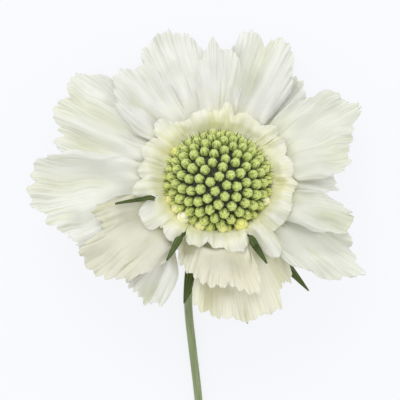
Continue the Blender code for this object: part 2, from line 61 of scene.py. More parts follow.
# Place of the head
HEAD_X = 5.1
HEAD_Y = 37.01
HEAD_HEIGHT = 16.6
HEAD_LEAN = math.radians(24.0)

# Receptacle and disc, radius and height about the head's own axis
DISC_RADIUS = 11.4
DISC_TOP = 8.4
DISC_BOTTOM = -1.2
BUD_COUNT = 118
BUD_TOP_SHARE = 0.92
BUD_SPREAD = (0.94, 1.04)
BUD_SEED = 7
BUD_LOWEST = 84.0
CUP_TOP = -2.4
CUP_BOTTOM = -8.2
CUP_PROFILE = ((9.2, CUP_TOP), (8.7, -3.8), (6.6, -5.9), (3.6, -7.6), (1.7, CUP_BOTTOM))
SEAT_GAP = 0.3
RIM_BUD_SLOPE = 0.9

# Petal sheets. Thin petals rise out of the slot sooner than the solids do, to the same fan.
ROOT_RADIUS = 7.6
SLOT_HEIGHT = 0.5 * (DISC_BOTTOM + CUP_TOP)
SLOT_END = 14.4
SPREAD_START = 14.7
RISE_END = 17.5
FAN_HEIGHT = 0.4
RUFFLE_START = 0.35
NOTCH_DEPTH = 1.5
NOTCH_WIDTH = 2.6
VALLEY_RUN = 10.0
BLADE = 0.62

# Thin sheets laid one on another. A layer is the distance from one sheet to the next.
LAYER = 0.6
COLLAR_LAYER = 0.42
FLOOR_LEVEL = 0.5 * BLADE
SKY = 100.0
STEEPEST = 0.45
RING_STEPS = 6
RING_REACH = 0.7
LIFT_REACH = 7
LIFT_START = SLOT_END - 1.0
LIFT_RUN = 0.6

# Grain of a sheet: its width is measured at the edge, and a petal is narrower than that on average.
# Each sheet's grain is shifted by the points placed before it, so that no two have the same veins.
GRAIN_NARROW = 0.75
GRAIN_STEP = 40.0 / 7000.0

# Fine grid of a petal, and its edge: uneven round scallops with fine teeth on them
FINE_STEP = 0.34
FINE_ROWS = 66
EDGE_START = 0.6
EDGE_OUT = 0.45
SCALLOP_PITCH = 1.9
SCALLOP_ROUND = 2.2
FIRST_PITCHES = (0.7, 1.4)
FIRST_DEPTHS = (0.5, 1.2)
PITCHES = (0.45, 1.5)
DEPTHS = (0.35, 1.3)
TOOTH_PITCH = 0.45
TOOTH_DEPTH = 0.5

# Folds of a petal. The noise of each kind has its size across and along the petal, and its own seed.
SEED_STEP = 7.0
FOLD_RUN = 4.0
FRILL = 1.2
FRILL_START = 0.62
FRILL_NOISE = (2.4, 5.0, 40.0)
PLEAT_PITCH = 1.3
PLEAT_WANDER = 6.0
WANDER_NOISE = (3.0, 11.0, 0.0)
CRUMPLE_NOISE = (5.5, 6.5, 20.0)
CREASE_NOISE = (3.6, 60.0, 60.0)
CREASE_WIDTH = 0.07
PATCH_NOISE = (7.0, 9.0, 80.0)
PATCH_RANGE = (-0.1, 0.3)
# How much a notch's dip counts as depth in a fold, for the painted shade there
DIP_SHADE = 0.7

# Surface of a petal. Its veins are drawn coarser than the real ones, which are too fine to show. The
# yellow at its root fades out between two radii, which the clouds move, and each stop is a place on
# that way and the share of the petal's own colour. The painted shade in a fold is a share of the colour.
VEIN_GAP = 0.714
VEIN_LENGTH = 14.3
CLOUD_SIZE = 9.1
CLOUD_SHIFT = -12.0
TINT_START = 6.0
TINT_END = 24.0
TINT_STOPS = ((0.03, 0.0), (0.17, 0.5), (0.36, 0.8), (0.6, 1.0))
FOLD_PAINTED_SHADE = (0.91, 0.92, 0.81, 1.0)

# Surface of a leaf: its veins, between a dark green and a pale waxy one
LEAF_VEIN_GAP = 0.3125
LEAF_VEIN_LENGTH = 8.33
LEAF_SHADE = "#002700"
LEAF_BLOOM = "#bccb95"

# Hairs on the disc: dark awns round each bud, and pale down on it
HAIR_SEED = 11
AWNS = 5
AWN_LENGTHS = (1.9, 2.7)
AWN_LEANS = (-0.15, 0.3)
AWN_WANDER = 0.25
AWN_ROOT = 0.9
AWN_RIM_SHARE = 0.6
AWN_RIM_GROWTH = 0.12
AWN_THICKNESS = 0.09
DOWN_HAIRS = 36
DOWN_ROWS = 8
DOWN_LENGTHS = (0.15, 0.4)
DOWN_DEPTH = 0.05
DOWN_MIDDLE = 0.4
DOWN_THICKNESS = 0.03

# Form of a bud: an egg of a few lobes, drawn from its tip down. Its start and length are shares of
# half a circle, and the places of its creases and dimple are angles from the tip, in radians. A grid
# is its rings and its sides.
BUD_START = 0.02
BUD_LENGTH = 0.83
BUD_CREASE = 0.08
BUD_CREASE_IN = (0.0, 0.6)
BUD_CREASE_OUT = (1.2, 2.4)
BUD_CREASE_FADE = 0.6
BUD_CREASE_TIP = 0.4
BUD_DIMPLE = 0.16
BUD_DIMPLE_WIDTH = 0.3
BUD_LIFT = 0.2
BUD_LOBES = 5
BUD_STRETCH = 1.25
BUD_GRID = (12, 30)
BUD_AGE_CHANCE = 0.1
RIM_BUD_LOBES = 4
RIM_BUD_STRETCH = 1.1
RIM_BUD_GRID = (16, 32)

# Receptacle as a turned body
DOME_SIDES = 72
DOME_STEP = 4
DOME_EDGE = 0.3
DOME_UNDERCUT = 0.4
AXIS_RADIUS = 0.05

# Painted light on a bud, a highlight at its tip and shade towards its root, painted shade in its
# creases, and the mottle of its down, all as shares of its colour
BUD_PAINTED_LIGHT = ((0.0, (1.2, 1.18, 1.25, 1.0)), (0.38, (1.0, 1.0, 1.0, 1.0)),
              (0.62, (0.62, 0.68, 0.45, 1.0)), (0.85, (0.15, 0.19, 0.06, 1.0)))
BUD_CREASE_PAINTED_SHADE = ((0.25, (1.0, 1.0, 1.0, 1.0)), (1.0, (0.72, 0.76, 0.6, 1.0)))
DOWN_SHADES = ((0.35, (0.62, 0.66, 0.48, 1.0)), (0.62, (1.18, 1.18, 1.25, 1.0)))
DOWN_GRAIN = 0.303

# Cup and bracts. A grid is rows and columns, and a grain is about the length across and along one of
# the faces.
BRACT_ROOT_RADIUS = 7.6
BRACT_ROOT_HEIGHT = -4.4
BRACT_FALL = 1.6
BRACT_FALL_LENGTH = 24.0
BRACT_TIP = 0.2
BRACT_KEEL = 0.33
BRACT_ROOT_SHARE = 0.35
BRACT_WIDEST = 0.35
BRACT_POINT = 2.2
FRONT_WIDTH = 2.0
FRONT_POINT = 2.5
FRONT_SWAY_START = 0.45
FRONT_ROOT_HEIGHT = -3.6
FRONT_TIP_HEIGHT = 1.5
FRONT_RISE_START = 12.4
FRONT_RISE_END = 16.5
FRONT_CLEAR = 15.2
FRONT_TURN_LENGTH = 2.6
FRONT_LAYER = 0.35
CUP_SIDES = 64
CUP_HOLES = (0.4, 0.3)
CUP_GRAIN = (0.6, 1.5)
LEAF_THICKNESS = 0.36
BRACT_GRID = (24, 8)
BRACT_GRAIN = (0.45, 0.8)
FRONT_GRID = (24, 6)
FRONT_GRAIN = (0.4, 0.7)
PLAIN_BRACT_GRID = (8, 2)

# Stem
STEM_RADIUS = 1.1
STEM_END_RADIUS = 0.85
STEM_LEAD = 1.6
STEM_STEPS = 220
STEM_SIDES = 30
STEM_RIBS = 10
RIB_DEPTH = 0.035
STEM_LENGTH = 140.0
STEM_GIRTH = 7.0
STEM_LOOK = 0.004
STEM_HAIRS = 3
STEM_HAIR_SEED = 23
STEM_HAIR_ROOT = 0.9
STEM_HAIR_LENGTHS = (0.5, 1.2)
STEM_HAIR_LEANS = (-0.5, 0.5)
STEM_HAIR_THICKNESS = 0.03
STEM_HAIR_LOWEST = 0.05

# A ray floret: its window at the root, in degrees about the head, and its outline as seen from
# above, each point an angle in degrees and a reach in millimetres from the middle of the head.
# spread is the radius where it reaches its full width, lift is the height of its tip over the fan,
# and pleats and swing are its folds.
Floret = namedtuple("Floret", "name root outline spread lift pleats swing")

# The order is the order in which they lie, the lowest first.
FLORETS = (
    Floret(
        "top_left",
        (102, 116),
        ((92, 26), (97.5, 32.2), (101, 35.4), (104, 36.7), (108, 37.3), (115, 37.0), (120.8, 35.1),
         (124, 30)),
        19.0, -1.0, 3.0, 0.9,
    ),
    Floret(
        "upper_right_low",
        (42, 54),
        ((40, 26), (44, 28.6), (47.5, 29.6), (50.7, 30.9), (54.4, 30.8), (58, 29.5), (64, 26)),
        18.0, -0.8, 2.0, 0.9,
    ),
    Floret(
        "right_small",
        (-7.5, 8),
        ((-8, 23), (-3, 27.6), (-0.5, 27.0), (2.5, 26.9), (6, 25.5), (11, 23)),
        18.0, -1.0, 2.0, 0.8,
    ),
    Floret(
        "bottom_back",
        (281, 291.5),
        ((256.5, 25.5), (258.5, 28.2), (261.5, 29.6), (264.9, 28.6), (271.7, 30.4), (277.3, 30.6),
         (283.4, 31.7), (291.5, 31.4), (297.5, 31.2), (299, 28.4), (303.6, 26.4), (308.8, 27.2),
         (312, 23)),
        17.8, -3.2, 4.0, 1.0,
    ),
    Floret(
        "lower_left",
        (222.5, 233),
        ((219, 27), (226, 30), (230.7, 31.2), (236, 30.6), (238.6, 31.9), (242, 30.7), (245.4, 30.4),
         (246.8, 27)),
        25.0, -1.8, 3.0, 0.9,
    ),
    Floret(
        "upper_left",
        (142, 166),
        ((133, 29), (137.6, 35.5), (141, 42.3), (146, 42.1), (149.8, 40.0), (152.2, 41.9), (157, 41.9),
         (162, 37.8), (164.5, 39.6), (167, 38.2), (171, 35.8), (175, 30)),
        20.0, -0.6, 4.0, 1.1,
    ),
    Floret(
        "upper_right",
        (60, 79),
        ((51, 27), (56.1, 31.3), (60, 35.3), (63.1, 37.1), (69, 36.5), (70.8, 34.6), (74.5, 37.0),
         (77.6, 37.4), (81.5, 34.1), (84.9, 31.2), (89, 27)),
        18.0, -0.6, 3.0, 1.0,
    ),
    Floret(
        "right",
        (12, 38),
        ((1, 24), (6, 28.2), (11, 31.2), (14.2, 30.6), (19.2, 32.9), (24, 34.4), (26.2, 37.2),
         (29.7, 37.6), (32.2, 35.6), (37.7, 34.8), (43.2, 30.6), (48, 26)),
        18.5, -0.6, 4.0, 1.1,
    ),
    Floret(
        "left",
        (169, 188),
        ((166, 32), (171.2, 39.1), (173.5, 42.0), (177.9, 43.3), (179.7, 41.2), (182, 43.8),
         (184.5, 43.0), (187, 42.8), (190, 40.2), (193.3, 40.0), (198, 36.4), (203.4, 35.3),
         (207.5, 34.6), (211, 28)),
        19.0, -0.8, 4.0, 1.1,
    ),
    Floret(
        "lower_left_front",
        (200, 221),
        ((186, 22), (189, 27.4), (192, 29.3), (198, 27.6), (201.5, 28.0), (204.5, 33.4), (207.5, 35.2),
         (212, 35.2), (218, 33.6), (222, 32.2), (228, 30.1), (232, 26), (236, 20)),
        18.5, 0.6, 3.0, 1.2,
    ),
    Floret(
        "upper_left_inner",
        (120, 138),
        ((115, 26), (121, 32.6), (125, 33.1), (131.8, 34.9), (135.5, 34.3), (139.5, 31.2), (143.5, 29),
         (147, 23)),
        18.5, 0.4, 3.0, 1.0,
    ),
    Floret(
        "top",
        (83, 98),
        ((76, 23), (80, 29.3), (86.2, 31.4), (90, 32.4), (91.9, 34.3), (93.5, 32.3), (95.6, 30.7),
         (99, 28.6), (103, 23)),
        18.0, 0.2, 2.0, 0.9,
    ),
    Floret(
        "lower_right",
        (303, 326),
        ((310, 23), (316, 29.4), (321.2, 34.5), (326.4, 38.7), (328.4, 39.1), (330.8, 36.3),
         (334.1, 33.7), (337.2, 32.7), (341, 30), (345, 25)),
        19.0, -0.2, 3.0, 1.1,
    ),
    Floret(
        "right_lower",
        (329.5, 349),
        ((332, 24), (336.5, 28.6), (341, 31.1), (343.5, 30.9), (346.2, 31.7), (348, 30.8),
         (352.3, 27.6), (355, 23)),
        18.5, 1.2, 2.0, 1.1,
    ),
    Floret(
        "bottom_front",
        (246, 273),
        ((231, 15.2), (238, 17.3), (243.5, 19.6), (252, 21.2), (259, 22.4), (268, 23.4), (277, 23.9),
         (283, 25.0), (290, 26.6), (293, 24.5), (294.5, 20)),
        17.4, 1.6, 3.0, 1.2,
    ),
)

# Painted shade of the florets: the side and lower ones take copies of the petal colour, toned darker
# and creamier for the shade they lie in; those not named here are fresh
FLORET_SHADES = {
    "lower_right": "soft", "right_lower": "soft", "right": "soft",
    "bottom_front": "cream", "bottom_back": "cream", "lower_left_front": "shaded_beige",
}

# Bracts under the petals, each an angle in degrees, its reach in millimetres from the head's axis
# and its width
UNDER_BRACTS = (
    (20, 26, 3.6), (52, 22, 3.6), (80, 27, 3.6), (112, 25, 3.6), (147, 27, 3.6), (178, 24, 3.6),
    (222, 20, 3.6), (254.2, 28.6, 5.6), (281.7, 32.9, 3.8), (310.5, 31.9, 3.6), (342, 25, 3.6),
)

# Bracts that come up between the petals on their edge: the angles at root and tip, the reach, and
# how far they turn flat after that, from 0 to 1
FRONT_BRACTS = (
    (195.5, 194.1, 24.2, 0.0), (238.3, 239.7, 23.0, 0.9), (297.0, 298.0, 23.4, 0.8),
)

# Larger florets opening along the rim of the disc: angle, radius, height and own radius
RIM_BUDS = (
    (295, 12.2, 1.5, 1.6), (275, 11.9, 1.3, 1.2), (334, 11.9, 1.5, 1.2), (204, 11.9, 1.3, 1.15),
    (217, 11.8, 1.5, 1.25), (230, 12.2, 1.5, 1.6), (250, 11.9, 1.3, 1.3), (144, 11.9, 1.5, 1.2),
    (95, 11.9, 1.5, 1.2),
)

# Small inner lobes of the florets, which stand round the disc in frilled collars. Each collar has
# a name, the angles where it starts and ends, a number of lobes, and the radius of its notches and
# of its longest lobes.
Collar = namedtuple("Collar", "name start end lobes notch reach")
COLLARS = (
    Collar("top", -57.0, 189.0, 15, 16.6, 20.2),
    Collar("left", 201.5, 233.0, 2, 15.8, 18.0),
    Collar("bottom", 245.5, 290.5, 3, 15.0, 16.6),
)
COLLAR_ROOT = 13.4
COLLAR_RUFFLE = 0.7
COLLAR_BEND = 0.9
COLLAR_BEND_TURN = 2.6
COLLAR_ROUND = 0.6
COLLAR_UNEVEN = 0.5
COLLAR_UNEVEN_TURNS = (2.3, 0.9)

# Fine form of the collars, from under the rim of the disc and over the roots of the petals. The
# profile is radius and height. The noise of each kind has its waves to a lobe, its size along the
# lobe, and its own seed.
COLLAR_COLUMNS = 24
COLLAR_ROWS = 26
COLLAR_INNER = 11.5
COLLAR_PROFILE = ((COLLAR_INNER, -0.2), (12.5, 0.8), (13.6, 1.1), (16.5, 0.8), (22.0, -0.6))
COLLAR_BACK_RISE = 0.7
COLLAR_LAP = 5.2
COLLAR_CLOSE = 1.0
COLLAR_CLOSED = (14.0, 15.0)
COLLAR_OUT = 0.9
COLLAR_LENGTHS = (0.0, 1.6)
COLLAR_TILTS = (-0.4, 0.5)
COLLAR_RUFFLE_SHARE = 0.3
COLLAR_RAG = 1.5
COLLAR_RAG_TURNS = 1.3
COLLAR_TOOTH = 0.3
COLLAR_TOOTH_TURNS = 7.0
COLLAR_TOOTH_SEED = 4.0
COLLAR_TATTER = 0.12
COLLAR_FOLDS = (12.1, 14.4)
COLLAR_SWELL_NOISE = (1.7, 3.5, 0.0)
COLLAR_WRINKLE = 0.7
COLLAR_WRINKLE_NOISE = (3.6, 7.0, 9.0)
COLLAR_CREASE_NOISE = (2.1, 30.0, 5.0)
COLLAR_CREASE_WIDTH = 0.12

# Stem, the middle line after it leaves the cup, about the head's place, as seen from above
STEM_ROUTE = (
    (-1.0, -6.2, 4.4), (-2.9, -9.6, 2.0), (-5.0, -14.5, 1.15), (-6.6, -21.5, 1.1), (-6.9, -29.0, 1.1),
    (-6.0, -38.0, 1.08), (-4.6, -50.0, 1.05), (-3.4, -64.0, 1.0), (-3.0, -79.0, 0.96),
    (-4.4, -95.0, 0.92), (-7.0, -110.0, STEM_END_RADIUS),
)

# How yellow each of the opening florets is, from 0, cream, to 1
RIM_AGES = (0.9, 0.75, 0.45, 0.7, 0.6, 0.1, 0.65, 0.95, 0.5)

# Photograph's frame: width in pixels, millimetres to a pixel, and where the head's middle shows
FRAME_PIXELS = 400
PIXEL = 0.23
HEAD_PIXEL_X = 218
HEAD_PIXEL_Y = 183
CAMERA_DISTANCE = 600.0
MIDDLE_LEVEL = 17.0
SENSOR = 36.0

# Stage, in metres
TABLE_HALF = 1.5
SOFTBOX_SIZE = 1.5
SOFTBOX_PLACE = (-0.30, 1.35, 1.26)
SOFTBOX_AIM = (0.0, HEAD_Y * MM, 0.01)
CLIP_START = 0.01

# Black and white, and the settings and sockets of a node that multiplies one colour by another
BLACK = (0.0, 0.0, 0.0, 1.0)
WHITE = (1.0, 1.0, 1.0, 1.0)
MULTIPLY = {"data_type": "RGBA", "blend_type": "MULTIPLY"}
MIX_A = 6
MIX_B = 7
MIX_RESULT = 2


def linear(hex_colour):
    """An sRGB hex colour as linear red, green, blue and alpha."""
    parts = [int(hex_colour[i:i + 2], 16) / 255.0 for i in (1, 3, 5)]
    return (*[c / 12.92 if c <= 0.04045 else ((c + 0.055) / 1.055) ** 2.4 for c in parts], 1.0)


def colour_property(name, description, hex_colour):
    return FloatVectorProperty(name=name, description=description, subtype="COLOR", size=4,
                               min=0.0, max=1.0, default=linear(hex_colour))


def length_property(name, description, millimetres, least=0.0):
    return FloatProperty(name=name, description=description, default=millimetres * MM,
                         min=least * MM, subtype="DISTANCE", unit="LENGTH")


class ScabiosaPetals(bpy.types.PropertyGroup):
    thickness: length_property("Thickness", "Thickness of a petal", 0.24, 0.05)
    scallop_depth: length_property(
        "Scallop depth", "Depth of the notches between the scallops of a petal's edge", 1.25)
    pleat_depth: length_property("Pleat depth", "Height of the fine pleats at a petal's edge", 0.16)
    crumple: length_property("Crumple", "Height of the soft uneven folds across a petal", 2.2)
    crease_depth: length_property(
        "Crease depth", "Depth of the narrow creases that run along a petal", 0.38)
    fresh_colour: colour_property("Fresh petal", "Colour of the upper petals", "#e2e3dc")
    # The off-white, cream and beige petals are copies of the white one, toned for the shade they lie in:
    # painted shade
    soft_colour: colour_property("Off-white petal", "Colour of the side petals", "#dbddd3")
    cream_colour: colour_property("Cream petal", "Colour of the older lower petals", "#e4e2d0")
    shaded_beige_colour: colour_property("Beige petal", "Colour of the oldest petal", "#d8d7c8")
    root_colour: colour_property("Petal root", "Yellow-green of a petal near the disc", "#f6f4c4")


class ScabiosaDisc(bpy.types.PropertyGroup):
    bud_count: IntProperty(
        name="Buds", description="Number of closed florets on the disc", default=BUD_COUNT, min=20)
    bud_radius: length_property("Bud radius", "Radius of a closed floret at the rim", 1.27, 0.2)
    bud_colour: colour_property("Bud", "Colour of the closed florets", "#c2cf7c")
    rim_colour: colour_property("Rim bud", "Colour of the buds near the rim", "#e0e48e")
    # The receptacle shows only deep between the buds: its own green, darkened there as painted shade
    shaded_gap_colour: colour_property("Gap", "Green between the buds, darkened as painted shade", "#232c0c")
    cream_colour: colour_property("Cream bud", "Colour of a bud that has just opened", "#f4f0da")
    yellow_colour: colour_property("Yellow bud", "Colour of a bud that is about to open", "#e6e47c")
    bristle_colour: colour_property("Bristle", "Colour of the bristles round the buds", "#3a4522")
    down_colour: colour_property("Down", "Colour of the down on the buds", "#c9d494")


class ScabiosaGreen(bpy.types.PropertyGroup):
    bract_colour: colour_property("Bract", "Colour of the bracts", "#48591f")
    stem_colour: colour_property("Stem", "Colour of the stem", "#8c9a72")
    hair_colour: colour_property("Stem hair", "Colour of the fine hairs on the stem", "#c9cfb4")
    hair_length: length_property("Hair length", "Length of the fine hairs on the stem", 0.5)


class ScabiosaStage(bpy.types.PropertyGroup):
    floor_colour: colour_property("Table", "Colour of the table where no light comes through", "#616266")
    glow_colour: colour_property("Glow", "Colour of the light from below", "#fbfcff")
    fill_colour: colour_property("Fill colour", "Colour of the light all round", "#fffffc")
    key_power: FloatProperty(name="Key light", description="Power of the softbox", default=7.5,
                             min=0.0, unit="POWER")
    table_glow: FloatProperty(name="Table glow", description="Strength of the light from below",
                              default=0.83, min=0.0)
    fill_strength: FloatProperty(name="Fill", description="Strength of the light all round",
                                 default=0.97, min=0.0)


def head_matrix():
    """From the head's own frame, with its axis along Z, to the flower as it lies, in millimetres."""
    place = Matrix.Translation((HEAD_X, HEAD_Y, HEAD_HEIGHT))
    return place @ Matrix.Rotation(-HEAD_LEAN, 4, "X")


TO_WORLD = head_matrix()


def smooth_step(start, end, value):
    share = min(max((value - start) / (end - start), 0.0), 1.0)
    return share * share * (3.0 - 2.0 * share)


def between(points, value):
    """Straight lines through (place, amount) points, read at one place."""
    for (left, low), (right, high) in zip(points, points[1:]):
        if value <= right:
            share = (value - left) / (right - left)
            return low + (high - low) * min(max(share, 0.0), 1.0)
    return points[-1][1]


def polar(radius, angle, height):
    return Vector((radius * math.cos(angle), radius * math.sin(angle), height))


def add_node(tree, kind, settings=None, links=None):
    """Adds a shader node, sets its properties and sockets, and links its inputs.

    A socket goes by its name or number. A colour ramp's setting stops is its (place, colour) pairs.
    """
    node = tree.nodes.new(kind)
    for key, value in (settings or {}).items():
        if key == "stops":
            set_stops(node.color_ramp, value)
        elif isinstance(key, int) or key in node.inputs:
            node.inputs[key].default_value = value
        else:
            setattr(node, key, value)
    for key, source in (links or {}).items():
        tree.links.new(source, node.inputs[key])
    return node


def set_stops(band, stops):
    while len(band.elements) < len(stops):
        band.elements.new(0.5)
    for element, (place, colour) in zip(band.elements, stops):
        element.position = place
        element.color = colour


def new_material(name, settings):
    """A material with one Principled shader, and its tree and shader."""
    material = bpy.data.materials.new(name)
    material.use_nodes = True
    tree = material.node_tree
    shader = tree.nodes["Principled BSDF"]
    for socket, value in settings.items():
        shader.inputs[socket].default_value = value
    return material, tree, shader


def finish_surface(tree, shader, colour, height, bump, rough_source, rough):
    """Links a colour, a bump and an uneven roughness to the shader.

    The bump is its strength and its depth in millimetres, and rough is the lowest and the highest.
    """
    tree.links.new(colour, shader.inputs["Base Color"])
    strength, distance = bump
    lumps = add_node(tree, "ShaderNodeBump", {"Strength": strength, "Distance": distance * MM},
                     {"Height": height})
    tree.links.new(lumps.outputs["Normal"], shader.inputs["Normal"])
    low, high = rough
    roughness = add_node(tree, "ShaderNodeMapRange", {"To Min": low, "To Max": high},
                         {"Value": rough_source})
    tree.links.new(roughness.outputs["Result"], shader.inputs["Roughness"])


def petal_material(name, colour, root_colour):
    """Living petal tissue, thin and full of air: light soaks through it, so its shade stays bright."""
    material, tree, shader = new_material(name, {
        "IOR": 1.4, "Subsurface Weight": 0.6, "Subsurface Radius": (1.0, 1.0, 0.85),
        "Subsurface Scale": 0.8 * MM})
    grain = add_node(tree, "ShaderNodeTexCoord")
    parts = add_node(tree, "ShaderNodeSeparateXYZ", links={"Vector": grain.outputs["UV"]})
    across = add_node(tree, "ShaderNodeMapping",
                      {"Scale": (1.0 / VEIN_GAP, 1.0 / VEIN_LENGTH, 1.0)},
                      {"Vector": grain.outputs["UV"]})
    veins = add_node(tree, "ShaderNodeTexNoise",
                     {"Scale": 1.0, "Detail": 3.0, "Roughness": 0.6, "Distortion": 0.25},
                     {"Vector": across.outputs["Vector"]})
    lines = add_node(tree, "ShaderNodeValToRGB", {"stops": ((0.36, BLACK), (0.52, WHITE))},
                     {"Fac": veins.outputs["Fac"]})
    # The clouds run on from one sheet to the next, so that the yellow of the roots does too
    clouds = add_node(tree, "ShaderNodeTexNoise", {"Scale": 1.0 / (CLOUD_SIZE * MM), "Detail": 2.0},
                      {"Vector": grain.outputs["Object"]})
    edge = add_node(tree, "ShaderNodeMath", {"operation": "MULTIPLY_ADD", 1: CLOUD_SHIFT},
                    {0: clouds.outputs["Fac"], 2: parts.outputs["Y"]})
    out = add_node(tree, "ShaderNodeMapRange", {"From Min": TINT_START, "From Max": TINT_END},
                   {"Value": edge.outputs["Value"]})
    tints = [(place, mixed(root_colour, colour, share)) for place, share in TINT_STOPS]
    shade = add_node(tree, "ShaderNodeValToRGB", {"stops": tints}, {"Fac": out.outputs["Result"]})
    # The veins show only towards the edge
    reach = add_node(tree, "ShaderNodeUVMap", {"uv_map": "Reach"})
    share = add_node(tree, "ShaderNodeSeparateXYZ", links={"Vector": reach.outputs["UV"]})
    near_edge = add_node(tree, "ShaderNodeMapRange",
                         {"From Min": 0.55, "From Max": 1.0, "To Min": 0.02, "To Max": 0.22},
                         {"Value": share.outputs["X"]})
    vein_tint = add_node(tree, "ShaderNodeMix", MULTIPLY, {
        "Factor": near_edge.outputs["Result"], MIX_A: shade.outputs["Color"],
        MIX_B: lines.outputs["Color"]})
    # Painted shade: the colour is darker and greener in folds, creases and notches, where shade falls
    painted_fold_shade = add_node(tree, "ShaderNodeMix", {**MULTIPLY, MIX_B: FOLD_PAINTED_SHADE}, {
        "Factor": share.outputs["Y"], MIX_A: vein_tint.outputs[MIX_RESULT]})
    finish_surface(tree, shader, painted_fold_shade.outputs[MIX_RESULT],
                   height=veins.outputs["Fac"], bump=(0.6, 0.18),
                   rough_source=clouds.outputs["Fac"], rough=(0.52, 0.72))
    return material


def mixed(first, second, share):
    return tuple(a + (b - a) * share for a, b in zip(first, second))


def notches(floret):
    """Shares across the floret where its outline dips between two lobes."""
    first = floret.outline[0][0]
    width = floret.outline[-1][0] - first
    dips = []
    for (_, before), (angle, reach), (_, after) in zip(floret.outline, floret.outline[1:],
                                                      floret.outline[2:]):
        if reach < before and reach < after:
            dips.append((angle - first) / width)
    return dips


def valley(floret, share):
    """Depth of the creases that run in from the notches between the lobes."""
    width = edge_width(floret)
    return sum(NOTCH_DEPTH * math.exp(-((share - dip) * width / NOTCH_WIDTH) ** 2)
               for dip in notches(floret))


def floret_tip(floret, share):
    """Angle and radius of the edge in the head's frame, at a share of the way across the outline."""
    first = floret.outline[0][0]
    last = floret.outline[-1][0]
    seen_angle = first + (last - first) * share
    reach = between(floret.outline, seen_angle)
    x = reach * math.cos(math.radians(seen_angle))
    y = reach * math.sin(math.radians(seen_angle))
    tip_height = FAN_HEIGHT + floret.lift
    y = (y - tip_height * math.sin(HEAD_LEAN)) / math.cos(HEAD_LEAN)
    angle = math.degrees(math.atan2(y, x))
    angle += 360.0 * round((seen_angle - angle) / 360.0)
    return angle, math.hypot(x, y)


def fan_height(radius):
    """The common rise of the petals, out of the slot under the disc and then level."""
    return SLOT_HEIGHT + (FAN_HEIGHT - SLOT_HEIGHT) * smooth_step(SLOT_END, RISE_END, radius)


def edge_width(floret):
    """Length of a floret's edge in millimetres, from its mean reach."""
    reach = sum(point[1] for point in floret.outline) / len(floret.outline)
    return reach * math.radians(floret.outline[-1][0] - floret.outline[0][0])


def tooth_cuts(floret, columns, depth):
    """How far the edge is cut back at each column: uneven round scallops, with fine teeth on them."""
    chance = random.Random(floret.name)
    width = edge_width(floret)
    cuts = []
    start = 0.0
    pitch = SCALLOP_PITCH * chance.uniform(*FIRST_PITCHES)
    deep = depth * chance.uniform(*FIRST_DEPTHS)
    for column in range(columns + 1):
        place = width * column / columns
        while place > start + pitch:
            start += pitch
            pitch = SCALLOP_PITCH * chance.uniform(*PITCHES)
            deep = depth * chance.uniform(*DEPTHS)
        share = (place - start) / pitch
        tooth = TOOTH_DEPTH * noise.noise(Vector((place / TOOTH_PITCH, len(floret.name), 0.0)))
        cuts.append(deep * abs(2.0 * share - 1.0) ** SCALLOP_ROUND + tooth)
    return cuts


def floret_rows(floret, settings):
    """The floret's sheet in the head's frame, rows of points from the root to the edge, and how deep
    in a fold each point is, from 0 to 1."""
    width = edge_width(floret)
    columns = round(width / FINE_STEP)
    cuts = tooth_cuts(floret, columns, settings.scallop_depth / MM)
    tips = [floret_tip(floret, column / columns) for column in range(columns + 1)]
    # Each floret has folds of its own, from its name's length and the angle where it starts
    seed = SEED_STEP * len(floret.name) + floret.outline[0][0]
    rows = []
    depths = []
    for row in range(FINE_ROWS + 1):
        out = row / FINE_ROWS
        fold = smooth_step(RUFFLE_START, 1.0, out)
        points = []
        line = []
        for column in range(columns + 1):
            share = column / columns
            tip_angle, tip_radius = tips[column]
            tip_radius += (EDGE_OUT - cuts[column]) * smooth_step(EDGE_START, 1.0, out)
            radius = ROOT_RADIUS + (tip_radius - ROOT_RADIUS) * out
            root_angle = floret.root[0] + (floret.root[1] - floret.root[0]) * share
            spread = smooth_step(SPREAD_START, floret.spread, radius)
            angle = math.radians(root_angle + (tip_angle - root_angle) * spread)
            wave = math.cos(2.0 * math.pi * floret.pleats * share + len(floret.name))
            height = fan_height(radius) + floret.lift * fold + floret.swing * fold * wave
            dip = valley(floret, share) * smooth_step(floret.spread, floret.spread + VALLEY_RUN, radius)
            fine, crease = folds(width * share, radius, out, seed, settings)
            points.append(polar(radius, angle, height - dip + fine))
            line.append(min(1.0, DIP_SHADE * dip / NOTCH_DEPTH + crease))
        rows.append(points)
        depths.append(line)
    return rows, depths


def fold_noise(arc, radius, kind, seed):
    """Noise of one kind of fold, from -1 to 1, at a length along the edge and a radius."""
    across, along, own_seed = kind
    return noise.noise(Vector((arc / across, radius / along, seed + own_seed)))


def folds(arc, radius, out, seed, settings):
    """Height of the fine folds at one place of a petal, and how near it is to a crease's middle.

    The folds are crumples, creases, pleats and a frilled edge.
    """
    inside = smooth_step(SLOT_END, SLOT_END + FOLD_RUN, radius)
    near_edge = smooth_step(FRILL_START, 1.0, out)
    turn = 2.0 * math.pi * arc / PLEAT_PITCH + PLEAT_WANDER * fold_noise(arc, radius, WANDER_NOISE, seed)
    pleats = settings.pleat_depth / MM * math.sin(turn)
    crumple = settings.crumple / MM * fold_noise(arc, radius, CRUMPLE_NOISE, seed)
    patch = smooth_step(*PATCH_RANGE, fold_noise(arc, radius, PATCH_NOISE, seed))
    line = fold_noise(arc, radius, CREASE_NOISE, seed)
    crease = inside * patch * math.exp(-(line / CREASE_WIDTH) ** 2)
    frill = FRILL * fold_noise(arc, radius, FRILL_NOISE, seed)
    height = inside * crumple + near_edge * (pleats + frill) - settings.crease_depth / MM * crease
    return height, crease


